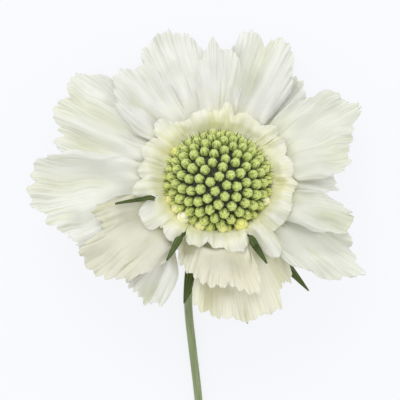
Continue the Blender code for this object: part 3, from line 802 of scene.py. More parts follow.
def level_over(tree, x, y, layer=LAYER):
    """Lowest place that a sheet may take over the placed sheets, from a small ring about one place."""
    level = None
    for step in range(RING_STEPS + 1):
        turn = step * 2.0 * math.pi / RING_STEPS
        away = RING_REACH if step < RING_STEPS else 0.0
        start = Vector((x + away * math.cos(turn), y + away * math.sin(turn), SKY))
        hit, normal, _, _ = tree.ray_cast(start, Vector((0.0, 0.0, -1.0)))
        if hit is not None:
            over = hit.z + layer / max(abs(normal.z), STEEPEST)
            level = over if level is None else max(level, over)
    return level


def spread_lifts(lifts):
    """Takes each lift out to its neighbours, then evens them, so that none ends below its own need."""
    soft = numpy.array(lifts)
    for axis in (0, 1):
        soft = windows(soft, axis).max(axis=0)
    for _ in range(2):
        for axis in (0, 1):
            soft = windows(soft, axis, LIFT_REACH // 2).mean(axis=0)
    return numpy.maximum(soft, lifts)


def windows(values, axis, reach=LIFT_REACH):
    """The grid shifted by every step up to reach along one axis, its border repeated."""
    count = values.shape[axis]
    places = numpy.arange(count)
    return numpy.stack([values.take(numpy.clip(places + step, 0, count - 1), axis=axis)
                        for step in range(-reach, reach + 1)])


def drape(rows, tree, layer, start):
    """Lifts a sheet, given as rows in world millimetres, over what is already placed.

    The lift sets in between the radius start and a little past the end of the slot.
    """
    to_head = TO_WORLD.inverted()
    lifts = []
    for points in rows:
        line = []
        for point in points:
            lift = max(FLOOR_LEVEL - point.z, 0.0)
            if (to_head @ point).xy.length > SLOT_END:
                level = level_over(tree, point.x, point.y, layer)
                if level is not None:
                    lift = max(lift, level - point.z)
            line.append(lift)
        lifts.append(line)
    lifts = spread_lifts(lifts)
    for points, line in zip(rows, lifts):
        for point, lift in zip(points, line):
            point.z += lift * smooth_step(start, SLOT_END + LIFT_RUN, (to_head @ point).xy.length)


def grid_faces(rows, columns, first=0):
    """Square faces of a grid, numbered from its first vertex."""
    faces = []
    for row in range(rows):
        for column in range(columns):
            a = first + row * (columns + 1) + column
            faces.append((a, a + 1, a + columns + 2, a + columns + 1))
    return faces


class Shape:
    """Vertices, faces and marks for each vertex, gathered into one mesh.

    The first two marks are the surface's grain, which the materials read as UV places. A further two,
    where there are any, are the share of the way out to the edge and the depth in a fold, which the
    materials darken as painted shade.
    """

    def __init__(self):
        self.points = []
        self.faces = []
        self.marks = []

    def add_grid(self, rows, marks, closed=False, capped=False):
        """Adds a grid of points with its marks; closed joins its last column to its first, and
        capped fills its last row."""
        first = len(self.points)
        columns = len(rows[0])
        for points, line in zip(rows, marks):
            self.points.extend(points)
            self.marks.extend(line)
        for row in range(len(rows) - 1):
            for column in range(columns if closed else columns - 1):
                after = (column + 1) % columns
                a = first + row * columns + column
                b = first + row * columns + after
                self.faces.append((a, b, b + columns, a + columns))
        if capped:
            self.faces.append(tuple(range(len(self.points) - columns, len(self.points))))

    def to_object(self, name, material):
        mesh = bpy.data.meshes.new(name)
        mesh.from_pydata([point * MM for point in self.points], [], self.faces)
        layer = mesh.uv_layers.new(name="Grain")
        for loop in mesh.loops:
            layer.data[loop.index].uv = self.marks[loop.vertex_index][:2]
        if len(self.marks[0]) > 2:
            layer = mesh.uv_layers.new(name="Reach")
            for loop in mesh.loops:
                layer.data[loop.index].uv = self.marks[loop.vertex_index][2:]
        mesh.shade_smooth()
        obj = bpy.data.objects.new(name, mesh)
        bpy.context.scene.collection.objects.link(obj)
        mesh.materials.append(material)
        return obj


def thicken(sheet, name, thickness):
    """Gives a sheet its real thickness, half of it to each side."""
    solidify = sheet.modifiers.new(name, "SOLIDIFY")
    solidify.thickness = thickness
    solidify.offset = 0.0


def collar_edge(collar, turns):
    """Radius of a collar's edge, after a number of lobes, each as long as two waves make it."""
    quick, slow = COLLAR_UNEVEN_TURNS
    lobe = abs(math.sin(math.pi * turns)) ** COLLAR_ROUND
    length = 1.0 - COLLAR_UNEVEN * (0.5 - 0.5 * math.sin(quick * turns) * math.cos(slow * turns))
    return collar.notch + (collar.reach - collar.notch) * lobe * length


def collar_noise(turns, radius, kind, seed):
    """Noise of one kind of fold, from -1 to 1, after a number of lobes and at a radius."""
    per_lobe, along, own_seed = kind
    return noise.noise(Vector((turns * per_lobe, radius / along, seed + own_seed)))


def collar_places(collar):
    """Each column of a collar's sheet: its lobe count, angle in degrees, edge radius and tilt."""
    chance = random.Random(collar.name)
    first = collar.start - COLLAR_LAP
    sweep = collar.end + COLLAR_LAP - first
    lobes = [(chance.uniform(*COLLAR_LENGTHS), chance.uniform(*COLLAR_TILTS))
             for _ in range(collar.lobes + 1)]
    places = []
    for column in range(collar.lobes * COLLAR_COLUMNS + 1):
        turns = column / COLLAR_COLUMNS
        length, tilt = lobes[int(turns)]
        edge = collar.notch + length * (collar_edge(collar, turns) - collar.notch)
        share = turns / collar.lobes
        shift = COLLAR_BEND * math.sin(COLLAR_BEND_TURN * turns) * share * (1.0 - share)
        rag = noise.noise(Vector((COLLAR_RAG_TURNS * turns, 0.0, collar.start)))
        rag += COLLAR_TOOTH * noise.noise(Vector((COLLAR_TOOTH_TURNS * turns, COLLAR_TOOTH_SEED,
                                                  collar.start)))
        rag -= COLLAR_TATTER * chance.random()
        places.append((turns, first + sweep * (turns + shift) / collar.lobes,
                       edge + COLLAR_OUT + COLLAR_RAG * rag, tilt * math.sin(math.pi * turns) ** 2))
    return places


def collar_rows(collar):
    """A frilled collar of small inner lobes in the head's frame, from under the rim of the disc, and
    how deep in a fold each point is, from 0 to 1."""
    places = collar_places(collar)
    rows = []
    depths = []
    for row in range(COLLAR_ROWS + 1):
        out = row / COLLAR_ROWS
        points = []
        line = []
        for turns, degrees, edge, tilt in places:
            radius = COLLAR_INNER + (edge - COLLAR_INNER) * out
            close = COLLAR_CLOSE * (1.0 - smooth_step(*COLLAR_CLOSED, radius))
            angle = math.radians(degrees + close * (2.0 * turns / collar.lobes - 1.0))
            ruffle = COLLAR_RUFFLE_SHARE * COLLAR_RUFFLE * math.cos(2.0 * math.pi * turns)
            swell = collar_noise(turns, radius, COLLAR_SWELL_NOISE, collar.start)
            wrinkle = collar_noise(turns, radius, COLLAR_WRINKLE_NOISE, collar.start)
            crease = collar_noise(turns, radius, COLLAR_CREASE_NOISE, collar.start)
            folded = smooth_step(*COLLAR_FOLDS, radius)
            height = between(COLLAR_PROFILE, radius) + COLLAR_BACK_RISE * max(math.sin(angle), 0.0)
            height += smooth_step(COLLAR_ROOT, edge, radius) * (tilt - ruffle + swell)
            points.append(polar(radius, angle, height + COLLAR_WRINKLE * folded * wrinkle))
            line.append(folded * math.exp(-(crease / COLLAR_CREASE_WIDTH) ** 2))
        rows.append(points)
        depths.append(line)
    return rows, depths


def lay_sheet(name, rows, depths, placed, material, thickness, layer=LAYER, start=LIFT_START):
    """Drapes rows over the placed sheets, adds them to those, and makes a petal of them."""
    rows = [[TO_WORLD @ point for point in row] for row in rows]
    points, faces = placed
    drape(rows, BVHTree.FromPolygons(points, faces), layer, start)
    faces.extend(grid_faces(len(rows) - 1, len(rows[0]) - 1, len(points)))
    points.extend(point for row in rows for point in row)
    to_head = TO_WORLD.inverted()
    outer = [(to_head @ point).xy for point in rows[-1]]
    arcs = [0.0]
    for before, after in zip(outer, outer[1:]):
        arcs.append(arcs[-1] + (after - before).length)
    shift = GRAIN_STEP * len(points)
    last = len(rows) - 1
    marks = [[(arc * GRAIN_NARROW + shift, (to_head @ point).xy.length, r / last, depth)
              for arc, point, depth in zip(arcs, row, line)]
             for r, (row, line) in enumerate(zip(rows, depths))]
    shape = Shape()
    shape.add_grid(rows, marks)
    petal = shape.to_object(name, material)
    thicken(petal, "Blade", thickness)
    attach(petal, "root")
    return petal


# The petals' surface in millimetres, as points and faces, which the bracts that lie over them need
SHEETS = []


class SCABIOSA_OT_petals(bpy.types.Operator):
    """Build the ray florets, each a toothed and ruffled sheet laid over the ones below"""
    bl_idname = "scabiosa.petals"
    bl_label = "Ray florets"

    def execute(self, context):
        settings = context.scene.scabiosa_petals
        root = settings.root_colour[:]
        # Copies of the petal tissue for the side and lower petals, toned darker and creamier as painted
        # shade
        tissues = {
            "fresh": petal_material("White petal tissue", settings.fresh_colour[:], root),
            "soft": petal_material("Off-white petal tissue", settings.soft_colour[:], root),
            "cream": petal_material("Cream petal tissue", settings.cream_colour[:], root),
            "shaded_beige": petal_material("Beige petal tissue", settings.shaded_beige_colour[:], root),
        }
        points = []
        faces = []
        rows, columns = PLAIN_BRACT_GRID
        for bract in UNDER_BRACTS:
            sheet = bract_rows(*bract, rows, columns)
            faces.extend(grid_faces(rows, columns, len(points)))
            points.extend(TO_WORLD @ point for row in sheet for point in row)
        placed = (points, faces)
        for floret in FLORETS:
            petal = lay_sheet("petal_" + floret.name, *floret_rows(floret, settings), placed,
                              tissues[FLORET_SHADES.get(floret.name, "fresh")], settings.thickness)
            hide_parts("ray_floret_" + floret.name)
        for collar in COLLARS:
            frill = lay_sheet("inner_frill_" + collar.name, *collar_rows(collar), placed,
                              tissues["fresh"], settings.thickness, COLLAR_LAYER, COLLAR_INNER)
            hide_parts("inner_lobes_" + collar.name)
        SHEETS.append(placed)
        return {"FINISHED"}


def bract_width(width, out):
    """A lance head: narrow at the root, widest a third of the way out, and pointed."""
    wide = BRACT_ROOT_SHARE + (1.0 - BRACT_ROOT_SHARE) * smooth_step(0.0, BRACT_WIDEST, out)
    return width * wide * (1.0 - out ** BRACT_POINT) + BRACT_TIP


def under_height(radius):
    """Bracts under the petals: level, then falling a little towards the tip."""
    share = max(radius - BRACT_ROOT_RADIUS, 0.0) / BRACT_FALL_LENGTH
    return BRACT_ROOT_HEIGHT - BRACT_FALL * share * share


def bract_rows(angle, reach, width, rows, columns):
    """Sheet of a bract under the petals in the head's frame, keeled along its middle."""
    turn = math.radians(angle)
    side = Vector((-math.sin(turn), math.cos(turn), 0.0))
    grid = []
    for row in range(rows + 1):
        out = row / rows
        radius = BRACT_ROOT_RADIUS + (reach - BRACT_ROOT_RADIUS) * out
        half = 0.5 * bract_width(width, out)
        middle = polar(radius, turn, under_height(radius))
        line = []
        for column in range(columns + 1):
            across = 2.0 * column / columns - 1.0
            keel = BRACT_KEEL * half * (1.0 - abs(across))
            line.append(middle + side * (half * across) - Vector((0.0, 0.0, keel)))
        grid.append(line)
    return grid


def front_bract_rows(bract, tree, rows, columns):
    """A bract that comes up on its edge between two petals, and then lies over them."""
    root_angle, tip_angle, reach, flat = bract
    grid = []
    for row in range(rows + 1):
        out = row / rows
        radius = BRACT_ROOT_RADIUS + (reach - BRACT_ROOT_RADIUS) * out
        sway = smooth_step(FRONT_SWAY_START, 1.0, out)
        angle = math.radians(root_angle + (tip_angle - root_angle) * sway)
        rise = smooth_step(FRONT_RISE_START, FRONT_RISE_END, radius)
        height = FRONT_ROOT_HEIGHT + (FRONT_TIP_HEIGHT - FRONT_ROOT_HEIGHT) * rise
        half = 0.5 * FRONT_WIDTH * (1.0 - out ** FRONT_POINT) + BRACT_TIP
        turn = 0.5 * math.pi * flat * smooth_step(FRONT_CLEAR, FRONT_CLEAR + FRONT_TURN_LENGTH, radius)
        edge = Vector((-math.sin(angle) * math.sin(turn), math.cos(angle) * math.sin(turn),
                       math.cos(turn))) * half
        middle = polar(radius, angle, height)
        line = [TO_WORLD @ (middle + edge * (2.0 * c / columns - 1.0)) for c in range(columns + 1)]
        if radius > FRONT_CLEAR:
            levels = [(level_over(tree, point.x, point.y, FRONT_LAYER), point.z) for point in line]
            lift = max([0.0] + [level - z for level, z in levels if level is not None])
            for point in line:
                point.z += lift
        grid.append(line)
    return grid


def turned_rows(profile, sides):
    """Rings of a turned body in the head's frame, top to bottom."""
    rings = []
    for radius, height in profile:
        rings.append([TO_WORLD @ polar(radius, 2.0 * math.pi * s / sides, height)
                      for s in range(sides)])
    return rings


def leaf_material(name, colour):
    """Living leaf: a thin waxy skin over green tissue, with straight veins along it."""
    material, tree, shader = new_material(name, {
        "IOR": 1.42, "Subsurface Weight": 0.1, "Subsurface Scale": 0.6 * MM})
    place = add_node(tree, "ShaderNodeTexCoord")
    grain = add_node(tree, "ShaderNodeMapping",
                     {"Scale": (1.0 / LEAF_VEIN_GAP, 1.0 / LEAF_VEIN_LENGTH, 1.0)},
                     {"Vector": place.outputs["UV"]})
    veins = add_node(tree, "ShaderNodeTexNoise", {"Scale": 1.0, "Detail": 2.0},
                     {"Vector": grain.outputs["Vector"]})
    dark = mixed(colour, linear(LEAF_SHADE), 0.35)
    pale = mixed(colour, linear(LEAF_BLOOM), 0.25)
    shade = add_node(tree, "ShaderNodeValToRGB", {"stops": ((0.3, dark), (0.5, colour), (0.68, pale))},
                     {"Fac": veins.outputs["Fac"]})
    finish_surface(tree, shader, shade.outputs["Color"],
                   height=veins.outputs["Fac"], bump=(0.5, 0.1),
                   rough_source=veins.outputs["Fac"], rough=(0.42, 0.65))
    return material


def even_marks(rows, columns, across, along):
    """Marks of a grid whose columns lie one length apart, in millimetres, and its rows another."""
    return [[(across * column, along * row) for column in range(columns)] for row in range(rows)]


class SCABIOSA_OT_involucre(bpy.types.Operator):
    """Build the green cup under the head with its lance-shaped bracts"""
    bl_idname = "scabiosa.involucre"
    bl_label = "Cup and bracts"

    def execute(self, context):
        settings = context.scene.scabiosa_green
        if not SHEETS:
            raise RuntimeError("build the ray florets first, because some bracts lie over them")
        tree = BVHTree.FromPolygons(*SHEETS[0])
        leaf = leaf_material("Bract leaf tissue", settings.bract_colour[:])
        shape = Shape()
        top_hole, bottom_hole = CUP_HOLES
        profile = ((top_hole, CUP_TOP),) + CUP_PROFILE + ((bottom_hole, CUP_BOTTOM),)
        rings = turned_rows(profile, CUP_SIDES)
        shape.add_grid(rings[::-1], even_marks(len(rings), CUP_SIDES, *CUP_GRAIN), closed=True)
        for bract in UNDER_BRACTS:
            rows = [[TO_WORLD @ point for point in row] for row in bract_rows(*bract, *BRACT_GRID)]
            shape.add_grid(rows, even_marks(len(rows), len(rows[0]), *BRACT_GRAIN))
        for bract in FRONT_BRACTS:
            rows = front_bract_rows(bract, tree, *FRONT_GRID)
            shape.add_grid(rows, even_marks(len(rows), len(rows[0]), *FRONT_GRAIN))
        cup = shape.to_object("cup_and_bracts", leaf)
        thicken(cup, "Leaf", LEAF_THICKNESS * MM)
        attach(cup, "root")
        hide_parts("involucre")
        return {"FINISHED"}


def dome_radius(height):
    share = (height - DISC_BOTTOM) / (DISC_TOP - DISC_BOTTOM)
    return DISC_RADIUS * math.sqrt(max(1.0 - share * share, 0.0))


def bud_places(count, radius):
    """Buds on the dome in the spirals of the golden angle, from the top down.

    Each is a place, the way it points, its size and its share of the way down.
    """
    golden = math.pi * (3.0 - math.sqrt(5.0))
    chance = random.Random(BUD_SEED)
    places = []
    height = DISC_TOP - DISC_BOTTOM
    for index in range(count):
        share = (index + 0.5) / count
        polar_angle = math.acos(1.0 - share * (1.0 - math.cos(math.radians(BUD_LOWEST))))
        turn = index * golden
        out = math.sin(polar_angle)
        up = math.cos(polar_angle)
        place = Vector((DISC_RADIUS * out * math.cos(turn), DISC_RADIUS * out * math.sin(turn),
                        DISC_BOTTOM + height * up))
        way = Vector((out * math.cos(turn) / DISC_RADIUS, out * math.sin(turn) / DISC_RADIUS,
                      up / height)).normalized()
        size = radius * (BUD_TOP_SHARE + (1.0 - BUD_TOP_SHARE) * share) * chance.uniform(*BUD_SPREAD)
        places.append((place, way, size, share))
    return places


def bud_rows(place, way, size, lobes, length, rings, sides):
    """A closed floret: an egg-shaped button of round lobes, with creases that meet at its tip.

    With each point comes how deep in a crease it is, from 0 to 1.
    """
    turn = way.to_track_quat("Z", "Y").to_matrix()
    rows = []
    creases = []
    for ring in range(rings + 1):
        down = math.pi * (BUD_START + BUD_LENGTH * ring / rings)
        fade = 1.0 - BUD_CREASE_FADE * smooth_step(*BUD_CREASE_OUT, down)
        deep = BUD_CREASE * smooth_step(*BUD_CREASE_IN, down) * fade
        dimple = 1.0 - BUD_DIMPLE * math.exp(-(down / BUD_DIMPLE_WIDTH) ** 2)
        line = []
        cuts = []
        for side in range(sides):
            angle = 2.0 * math.pi * side / sides
            cut = (1.0 - abs(math.cos(0.5 * lobes * angle))) ** 2
            tall = length * dimple * (1.0 - BUD_CREASE_TIP * deep * cut)
            local = polar(math.sin(down) * (1.0 - deep * cut), angle, tall * math.cos(down))
            line.append(TO_WORLD @ (place + turn @ (local * size)))
            cuts.append(cut)
        rows.append(line)
        creases.append(cuts)
    return rows, creases


def bud_marks(creases, age):
    """Marks of a bud's points: its age, how far down from its tip, and how deep in a crease."""
    last = len(creases) - 1
    return [[(age, ring / last, cut, 0.0) for cut in line] for ring, line in enumerate(creases)]


def bud_material(name, low, high, spread, blotched):
    """Closed floret skin: waxy and finely downy, from green inside to yellow at the rim. A painted
    highlight lightens its tip, and painted shade darkens its root and its creases.
    """
    material, tree, shader = new_material(name, {
        "IOR": 1.42, "Subsurface Weight": 0.25, "Subsurface Radius": (0.8, 1.0, 0.3),
        "Subsurface Scale": 0.6 * MM, "Sheen Weight": 0.2})
    grain = add_node(tree, "ShaderNodeTexCoord")
    parts = add_node(tree, "ShaderNodeSeparateXYZ", links={"Vector": grain.outputs["UV"]})
    ages = ((0.0, low), (spread, mixed(low, high, 0.35)), (1.0, high))
    age = add_node(tree, "ShaderNodeValToRGB", {"stops": ages}, {"Fac": parts.outputs["X"]})
    # Painted light: lighter at the tip, darker towards the root, where the buds shade one another
    top = add_node(tree, "ShaderNodeValToRGB", {"stops": BUD_PAINTED_LIGHT}, {"Fac": parts.outputs["Y"]})
    depth = add_node(tree, "ShaderNodeUVMap", {"uv_map": "Reach"})
    crease = add_node(tree, "ShaderNodeSeparateXYZ", links={"Vector": depth.outputs["UV"]})
    # Painted shade in the creases
    line = add_node(tree, "ShaderNodeValToRGB", {"stops": BUD_CREASE_PAINTED_SHADE}, {"Fac": crease.outputs["X"]})
    # Down, too fine to show hair by hair, is drawn as coarser grains
    down = add_node(tree, "ShaderNodeTexNoise", {"Scale": 1.0 / (DOWN_GRAIN * MM), "Detail": 2.0},
                    {"Vector": grain.outputs["Object"]})
    mottle = add_node(tree, "ShaderNodeValToRGB", {"stops": DOWN_SHADES}, {"Fac": down.outputs["Fac"]})
    colour = age.outputs["Color"]
    for detail, amount in ((top, 1.0), (line, 1.0), (mottle, blotched)):
        blend = add_node(tree, "ShaderNodeMix", {**MULTIPLY, "Factor": amount},
                         {MIX_A: colour, MIX_B: detail.outputs["Color"]})
        colour = blend.outputs[MIX_RESULT]
    finish_surface(tree, shader, colour,
                   height=down.outputs["Fac"], bump=(0.6, 0.15),
                   rough_source=down.outputs["Fac"], rough=(0.5, 0.75))
    return material


def plain_tissue(name, colour, grain):
    """Living tissue of one colour with a faint mottle, whose grain in millimetres is its clumps of
    cells: it looks matt and a little uneven."""
    material, tree, shader = new_material(name, {"IOR": 1.42})
    place = add_node(tree, "ShaderNodeTexCoord")
    mottle = add_node(tree, "ShaderNodeTexNoise", {"Scale": 1.0 / (grain * MM), "Detail": 3.0},
                      {"Vector": place.outputs["Object"]})
    shades = ((0.3, mixed(colour, BLACK, 0.3)), (0.55, colour), (0.75, mixed(colour, WHITE, 0.12)))
    shade = add_node(tree, "ShaderNodeValToRGB", {"stops": shades}, {"Fac": mottle.outputs["Fac"]})
    tree.links.new(shade.outputs["Color"], shader.inputs["Base Color"])
    rough = add_node(tree, "ShaderNodeMapRange", {"To Min": 0.5, "To Max": 0.75},
                     {"Value": mottle.outputs["Fac"]})
    tree.links.new(rough.outputs["Result"], shader.inputs["Roughness"])
    return material


def spike(shape, root, tip, thickness, sides=4):
    """A thin pointed hair or bristle."""
    way = (tip - root).normalized()
    turn = way.to_track_quat("Z", "Y").to_matrix()
    first = len(shape.points)
    for side in range(sides):
        angle = 2.0 * math.pi * side / sides
        shape.points.append(root + turn @ polar(thickness, angle, 0.0))
        shape.marks.append((0.0, 0.0))
    shape.points.append(tip)
    shape.marks.append((0.0, 1.0))
    for side in range(sides):
        shape.faces.append((first + side, first + (side + 1) % sides, first + sides))
    shape.faces.append(tuple(range(first + sides - 1, first - 1, -1)))


def dome_rings():
    """Rings of the receptacle: half an egg with a short rim, closed underneath."""
    height = DISC_TOP - DISC_BOTTOM
    levels = [DISC_BOTTOM + height * math.cos(math.radians(a)) for a in range(DOME_STEP, 90, DOME_STEP)]
    profile = [(AXIS_RADIUS, DISC_TOP)]
    profile += [(dome_radius(level), level) for level in levels]
    profile += [(DISC_RADIUS, DISC_BOTTOM + DOME_EDGE), (DISC_RADIUS - DOME_UNDERCUT, DISC_BOTTOM),
                (AXIS_RADIUS, DISC_BOTTOM)]
    return turned_rows(profile, DOME_SIDES)


def add_awns(bristles, chance, place, way, size, share):
    """Dark bristles round one bud, longer on the buds at the rim."""
    turn = way.to_track_quat("Z", "Y").to_matrix()
    for step in range(AWNS):
        angle = 2.0 * math.pi * (step + 0.5) / AWNS + chance.uniform(-AWN_WANDER, AWN_WANDER)
        lean = polar(1.0, angle, 0.0)
        root = place + turn @ (lean * size * AWN_ROOT)
        growth = 1.0 + AWN_RIM_GROWTH * smooth_step(AWN_RIM_SHARE, 1.0, share)
        rise = chance.uniform(*AWN_LENGTHS) * growth
        tip = root + turn @ (lean * chance.uniform(*AWN_LEANS) + Vector((0.0, 0.0, rise)))
        spike(bristles, TO_WORLD @ root, TO_WORLD @ tip, AWN_THICKNESS)


def add_down(down, chance, rows, middle):
    """Pale hairs on one bud, each straight out from a point inside it."""
    for _ in range(DOWN_HAIRS):
        point = rows[chance.randrange(1, DOWN_ROWS)][chance.randrange(len(rows[0]))]
        out = (point - middle).normalized()
        spike(down, point - out * DOWN_DEPTH, point + out * chance.uniform(*DOWN_LENGTHS),
              DOWN_THICKNESS, sides=3)


class SCABIOSA_OT_disc(bpy.types.Operator):
    """Build the domed disc: closed florets in spirals, bristles and larger buds opening at the rim"""
    bl_idname = "scabiosa.disc"
    bl_label = "Disc"

    def execute(self, context):
        settings = context.scene.scabiosa_disc
        rings = dome_rings()
        dome = Shape()
        dome.add_grid(rings[::-1], even_marks(len(rings), DOME_SIDES, 0.0, 0.0), closed=True)
        buds = Shape()
        bristles = Shape()
        down = Shape()
        chance = random.Random(HAIR_SEED)
        for place, way, size, share in bud_places(settings.bud_count, settings.bud_radius / MM):
            rows, creases = bud_rows(place + way * BUD_LIFT, way, size, BUD_LOBES, BUD_STRETCH,
                                     *BUD_GRID)
            age = (1.0 - BUD_AGE_CHANCE) * share ** 2 + BUD_AGE_CHANCE * chance.random()
            buds.add_grid(rows[::-1], bud_marks(creases, age)[::-1], closed=True, capped=True)
            add_awns(bristles, chance, place, way, size, share)
            add_down(down, chance, rows, TO_WORLD @ (place - way * DOWN_MIDDLE))
        opening = Shape()
        for (angle, radius, height, size), age in zip(RIM_BUDS, RIM_AGES):
            turn = math.radians(angle)
            way = Vector((math.cos(turn), math.sin(turn), RIM_BUD_SLOPE)).normalized()
            rows, creases = bud_rows(polar(radius, turn, height), way, size, RIM_BUD_LOBES,
                                     RIM_BUD_STRETCH, *RIM_BUD_GRID)
            opening.add_grid(rows[::-1], bud_marks(creases, age)[::-1], closed=True, capped=True)
        green = bud_material("Closed floret skin", settings.bud_colour[:], settings.rim_colour[:],
                             spread=0.35, blotched=1.0)
        yellow = bud_material("Opening floret skin", settings.cream_colour[:],
                              settings.yellow_colour[:], spread=0.5, blotched=0.35)
        # The receptacle's green is darkened as painted shade for the gaps between the buds
        core = dome.to_object("receptacle",
                              plain_tissue("Receptacle tissue", settings.shaded_gap_colour[:], grain=0.5))
        pieces = [
            core,
            buds.to_object("closed_florets", green),
            opening.to_object("opening_florets", yellow),
            bristles.to_object("calyx_bristles",
                               plain_tissue("Calyx bristle", settings.bristle_colour[:], grain=0.4)),
            down.to_object("floret_down",
                           plain_tissue("Floret down", settings.down_colour[:], grain=0.3)),
        ]
        for piece in pieces:
            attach(piece, "root")
        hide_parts("disc")
        return {"FINISHED"}


def spline_point(points, share):
    """Catmull-Rom curve through the points, at a share of the way along them."""
    spans = len(points) - 1
    place = min(max(share, 0.0), 1.0) * spans
    span = min(int(place), spans - 1)
    t = place - span
    before = points[max(span - 1, 0)]
    start = points[span]
    end = points[span + 1]
    after = points[min(span + 2, spans)]
    return 0.5 * (2.0 * start + (end - before) * t
                  + (2.0 * before - 5.0 * start + 4.0 * end - after) * t * t
                  + (3.0 * start - before - 3.0 * end + after) * t * t * t)


def stem_route():
    head = Vector((HEAD_X, HEAD_Y, 0.0))
    route = [TO_WORLD @ Vector((0.0, 0.0, CUP_BOTTOM - SEAT_GAP)),
             TO_WORLD @ Vector((0.0, 0.0, CUP_BOTTOM - SEAT_GAP - STEM_LEAD))]
    return route + [head + Vector(point) for point in STEM_ROUTE]


def stem_places():
    """The stem step by step: its middle, the way it runs, two ways across it and its radius."""
    route = stem_route()
    right = Vector((1.0, 0.0, 0.0))
    places = []
    for step in range(STEM_STEPS + 1):
        share = step / STEM_STEPS
        here = spline_point(route, share)
        ahead = spline_point(route, min(share + STEM_LOOK, 1.0))
        behind = spline_point(route, max(share - STEM_LOOK, 0.0))
        way = (ahead - behind).normalized()
        side = (right - way * right.dot(way)).normalized()
        radius = STEM_RADIUS + (STEM_END_RADIUS - STEM_RADIUS) * share
        places.append((here, way, side, way.cross(side), radius))
    return places


def stem_ring(here, side, across, radius):
    """One ring round the stem, waved by its ribs."""
    ring = []
    for number in range(STEM_SIDES):
        angle = 2.0 * math.pi * number / STEM_SIDES
        out = side * math.cos(angle) + across * math.sin(angle)
        rib = 1.0 - RIB_DEPTH + RIB_DEPTH * math.cos(STEM_RIBS * angle)
        ring.append(here + out * radius * rib)
    return ring


def add_stem_hairs(hairs, chance, place, settings):
    """The fine hairs at one step of the stem, apart from any that would reach the table."""
    here, way, side, across, radius = place
    for _ in range(STEM_HAIRS):
        angle = chance.uniform(0.0, 2.0 * math.pi)
        out = side * math.cos(angle) + across * math.sin(angle)
        root = here + out * radius * STEM_HAIR_ROOT
        lean = out + way * chance.uniform(*STEM_HAIR_LEANS)
        tip = root + lean * settings.hair_length / MM * chance.uniform(*STEM_HAIR_LENGTHS)
        if tip.z > STEM_HAIR_LOWEST:
            spike(hairs, root, tip, STEM_HAIR_THICKNESS, sides=3)


class SCABIOSA_OT_stem(bpy.types.Operator):
    """Build the ribbed, finely hairy stem"""
    bl_idname = "scabiosa.stem"
    bl_label = "Stem"

    def execute(self, context):
        settings = context.scene.scabiosa_green
        shape = Shape()
        hairs = Shape()
        chance = random.Random(STEM_HAIR_SEED)
        rows = []
        for place in stem_places():
            here, _, side, across, radius = place
            rows.append(stem_ring(here, side, across, radius))
            add_stem_hairs(hairs, chance, place, settings)
        marks = even_marks(len(rows), STEM_SIDES, STEM_GIRTH / STEM_SIDES, STEM_LENGTH / STEM_STEPS)
        shape.add_grid(rows, marks, closed=True, capped=True)
        shape.faces.append(tuple(range(STEM_SIDES - 1, -1, -1)))
        stem = shape.to_object("ribbed_stem", leaf_material("Stem tissue", settings.stem_colour[:]))
        down = hairs.to_object("stem_hairs", plain_tissue("Stem hair", settings.hair_colour[:], 0.5))
        for piece in (stem, down):
            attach(piece, "root")
        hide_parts("stem")
        return {"FINISHED"}


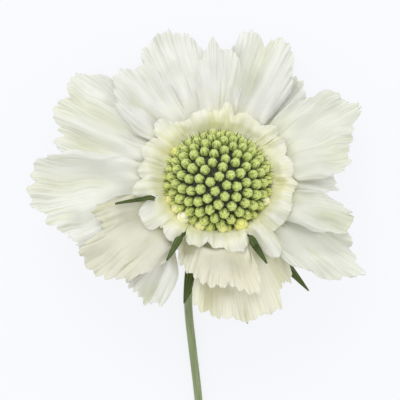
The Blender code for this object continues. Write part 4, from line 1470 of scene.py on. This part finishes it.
class SCABIOSA_OT_stage(bpy.types.Operator):
    """Set the pale table, the soft lights and the camera"""
    bl_idname = "scabiosa.stage"
    bl_label = "Stage"

    def execute(self, context):
        settings = context.scene.scabiosa_stage
        scene = context.scene
        scene.view_settings.view_transform = "Standard"
        mesh = bpy.data.meshes.new("table_top")
        corners = [(-TABLE_HALF, -TABLE_HALF, 0.0), (TABLE_HALF, -TABLE_HALF, 0.0),
                   (TABLE_HALF, TABLE_HALF, 0.0), (-TABLE_HALF, TABLE_HALF, 0.0)]
        mesh.from_pydata(corners, [], [(0, 1, 2, 3)])
        floor = bpy.data.objects.new("table_top", mesh)
        scene.collection.objects.link(floor)
        # A light table: the glow from below leaves only a faint shadow round the flower
        acrylic, _, _ = new_material("Opal acrylic sheet, lit from below", {
            "Base Color": settings.floor_colour[:], "Roughness": 0.8,
            "Emission Color": settings.glow_colour[:], "Emission Strength": settings.table_glow})
        mesh.materials.append(acrylic)

        world = bpy.data.worlds.new("Studio")
        scene.world = world
        world.use_nodes = True
        background = world.node_tree.nodes["Background"]
        background.inputs["Color"].default_value = settings.fill_colour[:]
        background.inputs["Strength"].default_value = settings.fill_strength

        light = bpy.data.lights.new("softbox", "AREA")
        light.energy = settings.key_power
        light.size = SOFTBOX_SIZE
        key = bpy.data.objects.new("softbox", light)
        key.location = SOFTBOX_PLACE
        aim = Vector(SOFTBOX_AIM) - key.location
        key.rotation_euler = aim.to_track_quat("-Z", "Y").to_euler()
        scene.collection.objects.link(key)

        camera_data = bpy.data.cameras.new("camera")
        camera_data.sensor_width = SENSOR
        field = FRAME_PIXELS * PIXEL
        camera_data.lens = SENSOR * CAMERA_DISTANCE / field
        camera_data.clip_start = CLIP_START
        camera = bpy.data.objects.new("camera", camera_data)
        middle = 0.5 * FRAME_PIXELS
        camera.location = Vector((HEAD_X + (middle - HEAD_PIXEL_X) * PIXEL,
                                  HEAD_Y + (HEAD_PIXEL_Y - middle) * PIXEL,
                                  MIDDLE_LEVEL + CAMERA_DISTANCE)) * MM
        scene.collection.objects.link(camera)
        scene.camera = camera
        return {"FINISHED"}


class SCABIOSA_PT_panel(bpy.types.Panel):
    """Sizes and colours of the flower, and the steps that build it"""
    bl_idname = "SCABIOSA_PT_panel"
    bl_label = "Scabiosa Flower"
    bl_space_type = "VIEW_3D"
    bl_region_type = "UI"
    bl_category = "Scabiosa"

    def draw(self, context):
        for name, operators in STEPS:
            box = self.layout.box()
            group = getattr(context.scene, name)
            for key in group.__annotations__:
                box.prop(group, key)
            for operator in operators:
                box.operator(operator)


STEPS = (
    ("scabiosa_petals", ("scabiosa.petals",)),
    ("scabiosa_green", ("scabiosa.involucre", "scabiosa.stem")),
    ("scabiosa_disc", ("scabiosa.disc",)),
    ("scabiosa_stage", ("scabiosa.stage",)),
)
GROUPS = {
    "scabiosa_petals": ScabiosaPetals,
    "scabiosa_disc": ScabiosaDisc,
    "scabiosa_green": ScabiosaGreen,
    "scabiosa_stage": ScabiosaStage,
}
CLASSES = (*GROUPS.values(), SCABIOSA_OT_petals, SCABIOSA_OT_involucre, SCABIOSA_OT_disc,
           SCABIOSA_OT_stem, SCABIOSA_OT_stage, SCABIOSA_PT_panel)


def register():
    for item in CLASSES:
        bpy.utils.register_class(item)
    for name, group in GROUPS.items():
        setattr(bpy.types.Scene, name, PointerProperty(type=group))


def unregister():
    for name in GROUPS:
        delattr(bpy.types.Scene, name)
    for item in reversed(CLASSES):
        bpy.utils.unregister_class(item)


def main():
    register()
    bpy.ops.scabiosa.petals()
    bpy.ops.scabiosa.involucre()
    bpy.ops.scabiosa.disc()
    bpy.ops.scabiosa.stem()
    bpy.ops.scabiosa.stage()


if __name__ == "__main__":
    main()
